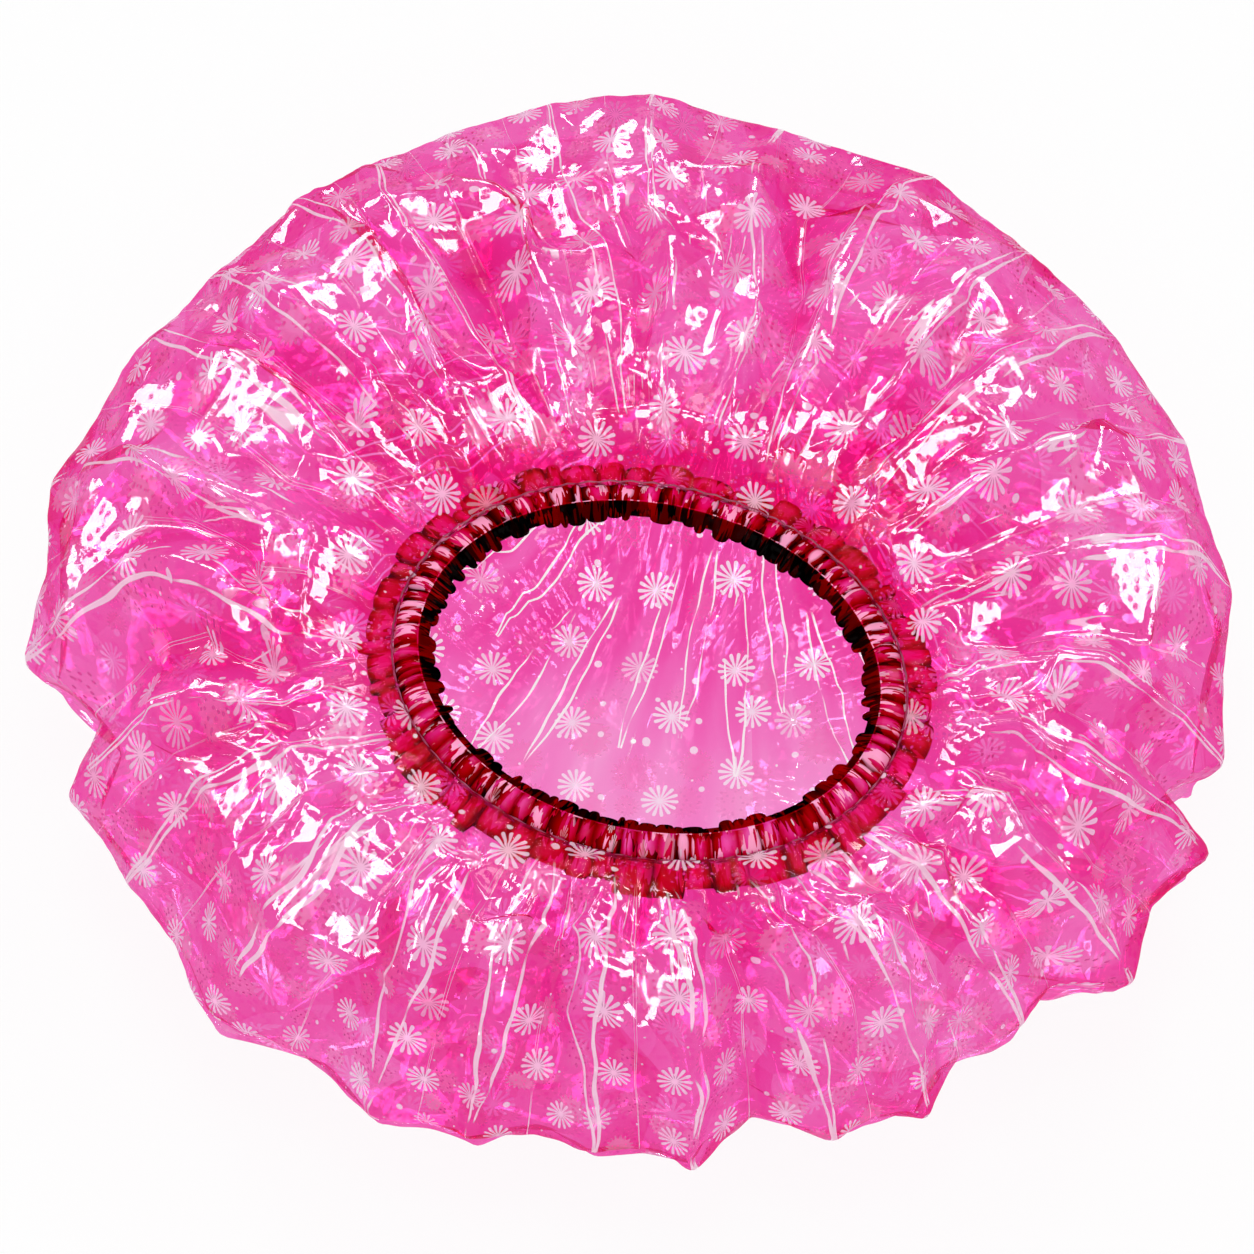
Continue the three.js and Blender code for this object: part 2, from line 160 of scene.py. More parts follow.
class CapSizes(bpy.types.PropertyGroup):
    """Sizes of the film, the hem and the elastic."""

    disc_radius: length("Disc Radius", "Disc of film that the cap is cut from", 275)
    billow_reach: length("Billow Reach", "Fold tips from the crown's axis", 150)
    billow_height: length("Billow Height", "Highest fold tip above the crown", 88)
    crest_rise: length("Crest Rise", "Highest ridge above the seam", 20)
    valley_depth: length("Valley Depth", "Valley below its ridge", 16)
    underfold_depth: length("Underfold Depth", "Folds under the cap", 5)
    fold_lean: share("Fold Lean", "How far ridges lean over, in halves of a fold", 0.4)
    fold_swing: share("Fold Swing", "How far ridges wind sideways, in folds", 0.1)
    kink_shift: share("Kink Shift", "How far creases zigzag sideways, in folds", 0.05)
    kink_depth: share("Kink Depth", "How far facets' corners stand out, of seam to tip", 0.017)
    wrinkle_depth: length("Wrinkle Depth", "Small wrinkles along the folds", 0.35)
    crown_patch: length("Crown Patch", "Radius of the patch that lies flat", 34)
    mouth_half_length: length("Mouth Half Length", "Long half axis of the elastic", 55)
    mouth_half_width: length("Mouth Half Width", "Short half axis of the elastic", 43)
    mouth_height: length("Mouth Height", "Elastic above the crown", 106)
    mouth_shift_x: length("Mouth Shift X", "Mouth from the crown's axis", 3.5)
    mouth_shift_y: length("Mouth Shift Y", "Mouth from the crown's axis", -38)
    mouth_turn: angle("Mouth Turn", "Turn of the mouth's long axis from +X", -19)
    seam_reach: length("Seam Reach", "Seam's inner edge from the elastic", 7.2)
    film_start: length("Film Start", "Seam's outer edge from the elastic", 8.2)
    film_lift: length("Film Lift", "Film above the elastic's middle at the seam", 0.9)
    pleat_rise: length("Pleat Rise", "Pleats of the film above the seam", 3.2)
    pleat_roll: length("Pleat Roll", "Pleats of the film bulging in over the seam", 1.6)
    edge_pleat: length("Edge Pleat", "Pleats of the film's edge inside the seam", 3)
    gather_rise: length("Gather Rise", "Gathers of the casing above their creases", 1.8)
    hem_rise: length("Hem Rise", "Top of the casing above the elastic's middle", 2.3)
    lobe_depth: length("Lobe Depth", "Lobes of the casing hanging past the elastic", 2.2)
    film_spare: share("Film Spare", "How much longer the film is than its puffed shape", 0.06)
    puff: share("Puff", "Air pressure that the film keeps inside", 0.3)
    crumple_reach: length("Crumple Reach", "The most that crumpling moves the film", 6)
    elastic_width: length("Elastic Width", "Width of the elastic band", 3)
    elastic_thickness: length("Elastic Thickness", "Thickness of the elastic band", 0.8)
    allowance_width: length("Allowance Width", "Cut edge of the film from the seam", 9)
    allowance_drop: length("Allowance Drop", "Cut edge below the elastic's middle", 3)
    daisy_spacing: length("Daisy Spacing", "Mean distance between the printed daisies", 20)
    daisy_radius: length("Daisy Radius", "Radius of a printed daisy", 4.9)
    rosette_spacing: length("Rosette Spacing", "Mean distance between the pale rosettes", 15)
    rosette_radius: length("Rosette Radius", "Radius of a pale rosette", 5.4)
    dot_spacing: length("Dot Spacing", "Mean distance between the places for dots", 12.5)
    dot_radius: length("Dot Radius", "Radius of a printed dot", 1.1)


class CapColours(bpy.types.PropertyGroup):
    """Colours and finishes of the film, its print, the elastic and the thread."""

    film: colour("Film", "White light after one layer of the film", "#F9A4DB")
    haze: colour("Haze", "Light scattered by the film", "#F05FB0")
    ink: colour("Ink", "Daisies and dots printed on the film", "#FCE8F8")
    # Blush is also the colour of the painted highlights on the bunched film of the hem.
    blush_and_highlight: colour("Blush", "Pale clusters printed behind the daisies", "#F9A8CF")
    speck: colour("Speck", "Fine dark specks in the clusters", "#D8308C")
    # Crease lines: partly film whitened where it is sharply creased, partly painted highlights that
    # stand in for glints along the folds.
    crease_highlight: colour("Crease", "Film whitened where it is sharply creased", "#FFFAFD")
    elastic: colour("Elastic", "Rubber of the elastic band", "#2A0006")
    thread: colour("Thread", "Sewing thread", "#8C1A4C")
    haze_share: share("Haze Share", "Light that the film scatters", 0.06)
    bunched_share: share("Bunched Share", "Light that the bunched film of the hem scatters", 0.75)
    gloss: share("Gloss", "How strongly the film mirrors, times one face of it", 0.5)
    roughness: share("Roughness", "Blur of the mirrored lights", 0.04)


class StageSettings(bpy.types.PropertyGroup):
    """The camera, the floor and the lights."""

    lens: FloatProperty(name="Lens", description="Focal length in millimetres", default=135)
    distance: length("Distance", "Camera from the point it looks at", 1166)
    elevation: angle("Elevation", "Camera above the horizon", 60)
    aim_x: length("Aim X", "Point that the camera looks at", -1.7)
    aim_y: length("Aim Y", "Point that the camera looks at", -7)
    aim_z: length("Aim Z", "Point that the camera looks at", 72)
    floor_size: length("Floor Size", "Side of the floor", 6000)
    ambient: share("Ambient", "Soft light from all sides", 0.6)


# The lamps stand 1 m from the middle of the cap. Each has an azimuth and an elevation in degrees,
# a width and a height in metres, its brightness, and whether it lights matte surfaces too. Those
# that don't are seen only in the film's gloss, as the many windows and lamps of a room are.
LAMPS = (
    (0, 84, 0.24, 0.28, 7, True),
    (0, 48, 0.36, 0.22, 8, True),
    (150, 58, 0.22, 0.28, 7, True),
    (210, 56, 0.20, 0.32, 7, True),
    (0, 84, 0.22, 0.26, 30, False),
    (0, 48, 0.34, 0.20, 30, False),
    (150, 58, 0.20, 0.26, 32, False),
    (210, 56, 0.18, 0.34, 32, False),
    (60, 32, 0.36, 0.46, 42, False),
    (125, 28, 0.46, 0.40, 42, False),
    (180, 20, 0.56, 0.30, 42, False),
    (236, 26, 0.42, 0.44, 42, False),
    (300, 34, 0.32, 0.46, 42, False),
    (100, 8, 0.44, 0.18, 42, False),
    (260, 8, 0.44, 0.18, 42, False),
    (270, 68, 0.22, 0.44, 42, False),
    (85, 66, 0.22, 0.44, 42, False),
    (20, 26, 0.38, 0.28, 42, False),
    (338, 14, 0.48, 0.26, 42, False),
)


def mouth_points(sizes, place, out, up):
    """Points near the mouth, from the place round its oval, the distance outside the elastic's
    middle line and the height above it."""
    x = sizes.mouth_half_length * np.cos(place)
    y = sizes.mouth_half_width * np.sin(place)
    across = np.stack(
        [np.cos(place) / sizes.mouth_half_length, np.sin(place) / sizes.mouth_half_width]
    )
    across = across / np.linalg.norm(across, axis=0)
    x = x + across[0] * out
    y = y + across[1] * out
    c, s = math.cos(sizes.mouth_turn), math.sin(sizes.mouth_turn)
    return np.stack(
        [
            x * c - y * s + sizes.mouth_shift_x,
            x * s + y * c + sizes.mouth_shift_y,
            sizes.mouth_height + up + 0 * x,
        ],
        axis=-1,
    )


def fold_knots(sizes):
    """The ends of every ridge and valley, in order round the cap: the tips, the places round the
    mouth's oval where they start, and the bearings."""
    bearings = [row[0] for row in FOLD_SHARES] + [FOLD_SHARES[0][0] + 360]
    tips, starts, turns = [], [], []
    first = math.radians(bearings[0])
    for i, (bearing, reach, height, notch, _, _) in enumerate(FOLD_SHARES):
        next_height = FOLD_SHARES[(i + 1) % FOLDS][2]
        middle = (bearing + bearings[i + 1]) / 2
        for at, out, up, place in (
            (bearing, reach, height, i),
            (middle, notch, (height + next_height) / 2, i + 0.5),
        ):
            turn = math.radians(at)
            tip = Vector((math.cos(turn), math.sin(turn), 0)) * out * sizes.billow_reach
            tip.z = up * sizes.billow_height
            straight = math.atan2(tip.y - sizes.mouth_shift_y, tip.x - sizes.mouth_shift_x)
            even = first + place / FOLDS * TURN
            straight += round((even - straight) / TURN) * TURN
            heading = straight + (even - straight) * EVEN_SPREAD_SHARE - sizes.mouth_turn
            start = math.atan2(
                math.sin(heading) * sizes.mouth_half_length,
                math.cos(heading) * sizes.mouth_half_width,
            )
            start += round((heading - start) / TURN) * TURN
            tips.append(tip)
            starts.append(start)
            turns.append(turn)
    return np.array(tips), np.array(starts), np.array(turns)


def around(place, values, gain=0.0):
    """Values at places round the cap, counted in folds, between evenly spaced knots. gain is what
    one full turn adds."""
    knots = np.arange(len(values) + 1) * FOLDS / len(values)
    return np.interp(np.mod(place, FOLDS), knots, np.append(values, values[0] + gain))


def chance_at(column, row, draw):
    """A number from -1 to 1 for a corner of a facet, random to the eye and the same each time."""
    wave = np.sin(column * 12.9898 + row * 78.233 + draw * 37.719) * 43758.5453
    return 2 * (wave - np.floor(wave)) - 1


def smooth(low, high, value):
    """0 below low, 1 above high and a soft step between them."""
    part = np.clip((value - low) / (high - low), 0, 1)
    return part * part * (3 - 2 * part)


def noise_at(points, offset=0.0):
    """Smooth noise at points, about 1 high."""
    flat = points.reshape(-1, 3)
    values = [noise.noise((x + offset, y, z)) for x, y, z in flat]
    return np.array(values).reshape(points.shape[:-1])


def blur_around(values, reach):
    """Values of a closed row of columns, each averaged with its neighbours."""
    total = values.copy()
    for step in range(1, reach + 1):
        total = total + np.roll(values, step, axis=1) + np.roll(values, -step, axis=1)
    return total / (2 * reach + 1)


def fold_widths(ends):
    """How wide a fold is at each column, by the nearer of its neighbours."""
    before = np.linalg.norm(ends - np.roll(ends, 1, axis=0), axis=1)
    after = np.linalg.norm(ends - np.roll(ends, -1, axis=0), axis=1)
    return FACETS * np.minimum(before, after)


def top_corners(sizes, row, folds):
    """One row of the facets' corners over the top of the film, between the seam and the tips."""
    tip, start, ridge, depth, lean, swell, column = folds
    top = TOP_ROW_SHARES[row]
    fullness = np.minimum(tip[:, 2] / sizes.billow_height, 1)
    seam = mouth_points(sizes, start, sizes.film_start, sizes.film_lift)
    fold_width = fold_widths(seam) * (1 - top) + fold_widths(tip) * top
    spot = seam + (tip - seam) * top
    crest = seam[:, 2] + sizes.crest_rise * fullness**2 * swell
    climb = math.sin(min(top / CREST_SHARE, 1) * math.pi / 2)
    fall = max((top - CREST_SHARE) / (1 - CREST_SHARE), 0)
    sink = smooth(0.1, 0.36, top) * math.sin(math.pi * top**0.8) ** 0.8
    spot[:, 2] = seam[:, 2] + (crest - seam[:, 2]) * climb + (tip[:, 2] - crest) * fall**2
    spot[:, 2] -= sizes.valley_depth * (0.45 + 0.55 * fullness) * depth * (1 - ridge) * sink
    pleat = np.mod(column, 2) * (0.8 + 0.4 * chance_at(column, 0, 1))
    spot[:, 2] += sizes.pleat_rise * pleat * math.exp(-top / 0.1) * min(row, 1)

    kink = smooth(0.08, 0.34, top) * (1 - smooth(0.8, 1, top)) * (1 - 0.6 * np.mod(column, 2))
    stand = np.linalg.norm(tip - seam, axis=1) * sizes.kink_depth * kink
    out = spot[:, :2] - np.array([sizes.mouth_shift_x, sizes.mouth_shift_y])
    ahead = out / np.linalg.norm(out, axis=1, keepdims=True)
    side = np.stack([-ahead[:, 1], ahead[:, 0]], axis=1)
    swing = np.cos(2 * start) + np.cos(5 * start + 1)
    aside = lean * ridge**1.5 * sizes.fold_lean / 2 * sink
    aside = aside + swing * sizes.fold_swing * math.sin(TURN * top) * sink
    aside = aside + chance_at(column, row, 2) * sizes.kink_shift * kink
    spot[:, :2] += side * (aside * fold_width)[:, None]
    spot[:, :2] += ahead * (chance_at(column, row, 13) * stand)[:, None]
    spot[:, 2] += chance_at(column, row, 4) * stand
    return spot


def under_corners(sizes, row, tip, turn, ridge, column):
    """One row of the facets' corners under the film, between the tips and the crown's patch."""
    part = UNDER_ROW_SHARES[row]
    patch = np.stack([np.cos(turn), np.sin(turn), 0 * turn], axis=1) * sizes.crown_patch
    spot = patch + (tip - patch) * part
    spot[:, 2] = tip[:, 2] * (1 - math.sqrt(1 - part**2))
    lift = sizes.underfold_depth * (1 - ridge + 0.15 * (1 + chance_at(column, row, 5)))
    spot[:, 2] += lift * math.sin(part * math.pi)
    return spot


def film_corners(sizes):
    """The corners of the film's flat facets, in rows from the seam over the tips to the crown's
    patch. Each fold has a column on its ridge, on each flank and in the valley."""
    column = np.arange(FACETS * FOLDS)
    place = column / FACETS
    tips, starts, turns = fold_knots(sizes)
    tip = np.stack([around(place, tips[:, i]) for i in range(3)], axis=-1)
    ridge = np.abs(1 - 2 * np.mod(place, 1))
    depth = np.array([row[4] for row in FOLD_SHARES])[place.astype(int)]
    lean = np.array([row[5] for row in FOLD_SHARES])[np.round(place).astype(int) % FOLDS]
    swell = around(place, 1 + 0.3 * chance_at(np.arange(FOLDS), 0, 0))
    folds = (tip, around(place, starts, TURN), ridge, depth, lean, swell, column)
    turn = around(place, turns, TURN)
    rows = [top_corners(sizes, row, folds) for row in range(len(TOP_ROW_SHARES))]
    for row in range(len(UNDER_ROW_SHARES)):
        rows.append(under_corners(sizes, row, tip, turn, ridge, column))
    return np.array(rows)


def on_facets(corners, across, along):
    """Points on the facets between rows of corners, at a column across and a row along them."""
    rows, columns = corners.shape[:2]
    j = np.minimum(along.astype(int), rows - 2)[:, None] + 0 * across[None].astype(int)
    i = across.astype(int)[None] + 0 * along[:, None].astype(int)
    a, b = (across[None] - i)[..., None], (along[:, None] - j)[..., None]
    here, right = corners[j, i], corners[j, (i + 1) % columns]
    above, far = corners[j + 1, i], corners[j + 1, (i + 1) % columns]
    falling = np.where(
        a + b < 1,
        here + (right - here) * a + (above - here) * b,
        far + (above - far) * (1 - a) + (right - far) * (1 - b),
    )
    rising = np.where(
        a > b,
        here + (right - here) * a + (far - right) * b,
        here + (above - here) * b + (far - above) * a,
    )
    return np.where(((i + j) % 2 == 0)[..., None], falling, rising)


def polar(turn, radius, height=0):
    """Points round the upright axis, from their turn, their distance off it and their height."""
    x, y = np.cos(turn) * radius, np.sin(turn) * radius
    return np.stack(np.broadcast_arrays(x, y, height), axis=-1)


def flat_places(points, mouth, beneath):
    """Places on the flat sheet: how far each point is from the seam along the film, where it lies
    in the print of the upper film and of the underside, and where among the small wrinkles."""
    steps = np.linalg.norm(np.diff(points, axis=0), axis=-1)
    far = np.concatenate([0 * steps[:1], np.cumsum(blur_around(steps, 12), axis=0)])
    off_mouth = points[..., :2] - mouth
    bearing = np.arctan2(off_mouth[..., 1], off_mouth[..., 0])
    radius = np.linalg.norm(off_mouth[0], axis=-1) + far
    turn = np.arctan2(points[..., 1], points[..., 0])
    fan = points[..., :2] - np.array(FAN_START) * MM
    fan_turn = np.arctan2(fan[..., 1], fan[..., 0])
    streak = polar(bearing, 1, radius / MM / 100)
    fan_streak = polar(fan_turn, 2, np.linalg.norm(fan, axis=-1) / MM / 100)
    streak = np.where(beneath[..., None] > 0, fan_streak, streak)
    return far, polar(bearing, radius), polar(turn, far[-1:] - far), streak


def film_layers(points, far, top, fold_depth, beneath):
    """Layers of film that the light crosses: more at the seam, in deep valleys, along the tips and
    on the side of the crown that the mouth faces. The extra layers there, on the underside, are
    painted shade where the billow above shades it, partly standing for its folds."""
    x, y = np.abs(points[..., 0]) / MM, points[..., 1] / MM
    sink = smooth(0.1, 0.5, top) * (1 - smooth(0.75, 1, top))
    tip_row = ROW_PARTS * (len(TOP_ROW_SHARES) - 1)
    tipped = 0.35 * np.exp(-np.abs(far - far[tip_row]) / (5 * MM))
    # Painted shade: the underside behind the mouth is darker, as extra layers that partly stand for
    # folds there.
    shade = smooth(-25, 65, y) * (1 - smooth(75, 105, y)) * (1 - smooth(60, 95, x))
    through_mouth = smooth(-75, -25, y) * (1 - smooth(75, 105, x))
    upper = 1.18 + 1.2 * np.exp(-far / (20 * MM)) + 0.55 * fold_depth * sink + tipped
    under = 0.95 + 0.2 * through_mouth + 1.6 * shade + tipped
    return np.where(beneath > 0, under, upper)


def film_rows(sizes):
    """The billow's points in rows from the seam over the tips to the crown, with the attributes
    that its material reads."""
    corners = film_corners(sizes)
    last_top, last = len(TOP_ROW_SHARES) - 1, len(corners) - 1
    across = np.arange(0, FACETS * FOLDS, 1 / COLUMN_PARTS)
    step = 1 / ROW_PARTS
    along = np.concatenate([np.arange(0, last_top, step), np.arange(last_top, last + 0.1, step)])
    points = on_facets(corners, across, along)
    patch = points[-1:] * np.array([0.7, 0.35, 0.02])[:, None, None]
    points = np.concatenate([points, patch])
    row = np.concatenate([along, last + np.arange(1, 4) / 4])[:, None] + 0 * across[None]
    place = (across / FACETS)[None]
    top = np.interp(row, np.arange(last_top + 1), TOP_ROW_SHARES)
    beneath = (row > last_top + 0.4).astype(float)
    ridge = np.abs(1 - 2 * np.mod(place, 1))
    depth = np.array([line[4] for line in FOLD_SHARES])[place.astype(int)]

    # The film rolls in over the seam.
    mouth = np.array([sizes.mouth_shift_x, sizes.mouth_shift_y])
    out = points[..., :2] - mouth
    out = out / np.linalg.norm(out, axis=-1, keepdims=True)
    pleat = 1 - np.abs(np.mod(across, 2) - 1)[None]
    roll = np.exp(-((top - 0.015) ** 2) / 0.0002) * (1 - beneath) * (0.5 + 0.5 * pleat)
    points[..., :2] -= out * (sizes.pleat_roll * roll)[..., None]

    # Where each point is from the nearest ridge: how far aside, how far along from the seam to
    # the tips, and the ridge's random number.
    far, print_top, print_under, streak = flat_places(points, mouth, beneath)
    side = np.mod(place + 0.5, 1) - 0.5
    width = TURN / FOLDS * np.linalg.norm(points[..., :2] - mouth, axis=-1)
    fold_chance = chance_at(np.round(place) % FOLDS, 1, 6) + 0 * top
    # These places draw the white crease lines, which are partly whitened film and partly painted
    # highlights along the ridges.
    crease_highlight = np.stack([side * width, top, fold_chance], axis=-1)

    # Small wrinkles along the folds.
    squeezed = 0.6 * np.exp(-far / (60 * MM)) + 0.4
    ripples = noise_at(streak * np.array([15, 15, 1.2]))
    lift = sizes.wrinkle_depth * (1 - 2 * np.abs(ripples)) * squeezed
    lift *= np.where(beneath > 0, 0.35, 1)
    lift *= smooth(0, 1, row) * smooth(last + 0.9, last - 1, row)
    points[..., 2] += lift * (1 - beneath) + np.abs(lift) * beneath

    # The edge is bunched in deep pleats inside the seam.
    in_and_out = 1 - 2 * np.abs(np.mod(across, 2) - 1)
    edge = points[:1].copy()
    edge[..., :2] += out[:1] * (in_and_out * sizes.edge_pleat)[None, :, None]
    edge[..., 2] -= sizes.film_lift
    attributes = {
        "print_top": print_top,
        "print_under": print_under,
        "streak": streak,
        "crease_highlight": crease_highlight,
        "beneath": beneath,
        "off_hem": np.maximum(smooth(8, 15, far / MM), beneath),
        "layers": film_layers(points, far, top, (1 - ridge) * depth, beneath),
    }
    attributes = {key: np.concatenate([one[:1], one]) for key, one in attributes.items()}
    return np.concatenate([edge, points]), attributes


def closed_mesh(name, points, attributes, material, cap_end=False):
    """A piece made of rows of points that close round the cap. cap_end joins the last row in one
    point."""
    rows, columns = points.shape[:2]
    bm = bmesh.new()
    bmesh.ops.create_grid(bm, x_segments=columns, y_segments=rows - 1, size=1)
    bm.verts.ensure_lookup_table()
    wrapped = np.concatenate([points, points[:, :1]], axis=1).reshape(-1, 3)
    for key, values in attributes.items():
        wide = np.concatenate([values, values[:, :1]], axis=1)
        vector = wide.ndim == 3
        layer = (bm.verts.layers.float_vector if vector else bm.verts.layers.float).new(key)
        for vert, value in zip(bm.verts, wide.reshape(-1, 3) if vector else wide.reshape(-1)):
            vert[layer] = value if vector else float(value)
    for vert, spot in zip(bm.verts, wrapped):
        vert.co = spot
    edge = [v for v in bm.verts if v.index % (columns + 1) in (0, columns)]
    bmesh.ops.remove_doubles(bm, verts=edge, dist=1e-7)
    if cap_end:
        last = [v for v in bm.verts if v.index >= (rows - 1) * (columns + 1)]
        bmesh.ops.remove_doubles(bm, verts=last, dist=1e-5)
    middle = Vector(wrapped.mean(0))
    bm.normal_update()
    if sum((v.co - middle).dot(v.normal) for v in bm.verts) < 0:
        bmesh.ops.reverse_faces(bm, faces=bm.faces)
    mesh = bpy.data.meshes.new(name)
    bm.to_mesh(mesh)
    bm.free()
    for face in mesh.polygons:
        face.use_smooth = True
    mesh.materials.append(material)
    piece = bpy.data.objects.new(name, mesh)
    bpy.context.collection.objects.link(piece)
    return piece


def crumple(piece, held, sizes):
    """Lets the film crumple as stiff, light, slightly too large cloth with air inside, held at some
    of its points."""
    group = piece.vertex_groups.new(name="held")
    group.add([int(i) for i in held], 1, "REPLACE")
    before = np.empty(len(piece.data.vertices) * 3)
    piece.data.vertices.foreach_get("co", before)
    cloth = piece.modifiers.new("film", "CLOTH")
    for key, value in {
        "vertex_group_mass": group.name,
        "quality": 5,
        "mass": 0.1,
        "tension_stiffness": 40,
        "compression_stiffness": 40,
        "shear_stiffness": 20,
        "bending_stiffness": 0.3,
        "shrink_min": -sizes.film_spare,
        "shrink_max": -sizes.film_spare,
        "use_pressure": True,
        "uniform_pressure_force": sizes.puff,
        "air_damping": 5,
    }.items():
        setattr(cloth.settings, key, value)
    cloth.settings.effector_weights.gravity = 0
    cloth.collision_settings.use_collision = False
    scene = bpy.context.scene
    for step in range(1, CLOTH_STEPS + 1):
        scene.frame_set(step)
    depsgraph = bpy.context.evaluated_depsgraph_get()
    moved = piece.evaluated_get(depsgraph)
    after = np.empty(len(before))
    moved.data.vertices.foreach_get("co", after)
    piece.modifiers.remove(cloth)
    scene.frame_set(1)
    shift = (after - before).reshape(-1, 3)
    far = np.linalg.norm(shift, axis=1, keepdims=True)
    shift *= np.minimum(1, sizes.crumple_reach / np.maximum(far, 1e-9))
    spots = before.reshape(-1, 3) + shift
    spots[:, 2] = np.maximum(spots[:, 2], 0)
    piece.data.vertices.foreach_set("co", spots.reshape(-1))
    piece.vertex_groups.remove(group)
    piece.data.update()


def add(tree, kind, into=(), operation=None, **settings):
    """Adds a node, gives it its operation and settings, and fills its sockets with values or
    links: its first ones in order, or the ones that a dict names."""
    node = tree.nodes.new("ShaderNode" + kind)
    if operation:
        node.operation = operation
    for key, value in settings.items():
        setattr(node, key, value)
    for socket, value in into.items() if isinstance(into, dict) else enumerate(into):
        if isinstance(value, bpy.types.Node):
            value = value.outputs[0]
        if isinstance(value, bpy.types.NodeSocket):
            tree.links.new(value, node.inputs[socket])
        else:
            node.inputs[socket].default_value = value
    return node


def seen_rays(tree):
    """1 for rays that show the background: straight, mirrored or through glass."""
    rays = add(tree, "LightPath").outputs
    seen = rays["Is Camera Ray"]
    for ray in ("Is Glossy Ray", "Is Transmission Ray"):
        seen = add(tree, "Math", (seen, rays[ray]), "MAXIMUM")
    return seen


def new_material(name):
    """An empty node material."""
    material = bpy.data.materials.new(name)
    material.use_nodes = True
    material.node_tree.nodes.clear()
    return material, material.node_tree


def bloom_nodes(tree, place, spacing, randomness):
    """The nearest flower of a scattered print: how far off its middle is, where round it a place
    is in turns, and the flower's random numbers."""
    cell = add(
        tree,
        "TexVoronoi",
        {"Vector": place, "Scale": 1 / spacing, "Randomness": randomness},
        voronoi_dimensions="2D",
    )
    local = add(tree, "VectorMath", (place, cell.outputs["Position"]), "SUBTRACT")
    chance = add(tree, "SeparateColor", (cell.outputs["Color"],))
    xy = add(tree, "SeparateXYZ", (local,))
    radius = add(tree, "VectorMath", (local,), "LENGTH").outputs["Value"]
    turn = add(tree, "Math", (xy.outputs["Y"], xy.outputs["X"]), "ARCTAN2")
    turn = add(tree, "Math", (turn, 1 / TURN, chance.outputs[1]), "MULTIPLY_ADD")
    return radius, turn, chance


def petal_side(tree, turn, petals):
    """How far round from the nearest petal's middle line a place is, in petals."""
    spun = add(tree, "Math", (turn, petals), "MULTIPLY")
    spot = add(tree, "Math", (spun,), "FRACT")
    return add(tree, "Math", (spot, 0.5), "SUBTRACT")


def daisy_nodes(tree, place, sizes):
    """The share of ink of the daisies at a place on the print."""
    petals = 14
    radius, turn, chance = bloom_nodes(tree, place, sizes.daisy_spacing, 0.55)
    side = petal_side(tree, turn, petals)
    aside = add(tree, "Math", (side, radius), "MULTIPLY")
    aside = add(tree, "Math", (aside, TURN / petals), "MULTIPLY")
    tip_at = sizes.daisy_radius * 0.9
    past = add(tree, "Math", (radius, tip_at), "SUBTRACT")
    past = add(tree, "Math", (past, 0), "MAXIMUM")
    both = add(tree, "CombineXYZ", (aside, past, 0))
    off = add(tree, "VectorMath", (both,), "LENGTH").outputs["Value"]
    wide = add(
        tree, "MapRange", (radius, 0.3 * tip_at, 0.85 * tip_at, 0.04 * tip_at, 0.105 * tip_at)
    )
    gap = add(tree, "Math", (wide, off), "SUBTRACT")
    petal = add(
        tree, "MapRange", (gap, -0.05 * MM, 0.05 * MM, 0, 1), interpolation_type="SMOOTHSTEP"
    )
    middle = add(
        tree,
        "MapRange",
        (radius, 0.5 * tip_at, 0.4 * tip_at, 0, 0.45),
        interpolation_type="SMOOTHSTEP",
    )
    dot = add(tree, "MapRange", (radius, 0.14 * tip_at, 0.1 * tip_at, 0, 1))
    flower = add(tree, "Math", (petal, middle), "MAXIMUM")
    flower = add(tree, "Math", (flower, dot), "MAXIMUM")
    strength = add(tree, "MapRange", (chance.outputs[0], 0, 0.5, 0.4, 1))
    return add(tree, "Math", (flower, strength), "MULTIPLY")


def rosette_nodes(tree, place, sizes):
    """The shares of pale ink and of dark specks of the rosettes printed behind the daisies."""
    shifted = add(tree, "VectorMath", (place, (0.113, 0.071, 0)), "ADD")
    radius, turn, chance = bloom_nodes(tree, shifted, sizes.rosette_spacing, 0.9)
    side = petal_side(tree, turn, 17)
    side = add(tree, "Math", (side,), "ABSOLUTE")
    reach = add(
        tree, "MapRange", (side, 0.1, 0.4, sizes.rosette_radius, 0.78 * sizes.rosette_radius)
    )
    scale = add(tree, "MapRange", (chance.outputs[2], 0, 1, 0.6, 1.1))
    reach = add(tree, "Math", (reach, scale), "MULTIPLY")
    gap = add(tree, "Math", (reach, radius), "SUBTRACT")
    inside = add(tree, "MapRange", (gap, -0.1 * MM, 0.1 * MM, 0, 1))
    strength = add(tree, "MapRange", (chance.outputs[0], 0.1, 1, 0.06, 0.34))
    blush_and_highlight = add(tree, "Math", (inside, strength), "MULTIPLY")
    grain = add(
        tree,
        "TexVoronoi",
        {"Vector": place, "Scale": 520, "Randomness": 0.85},
        voronoi_dimensions="2D",
    )
    speck = add(tree, "MapRange", (grain.outputs["Distance"], 0.22, 0.15, 0, 0.75))
    speck = add(tree, "Math", (speck, inside), "MULTIPLY")
    return blush_and_highlight, speck


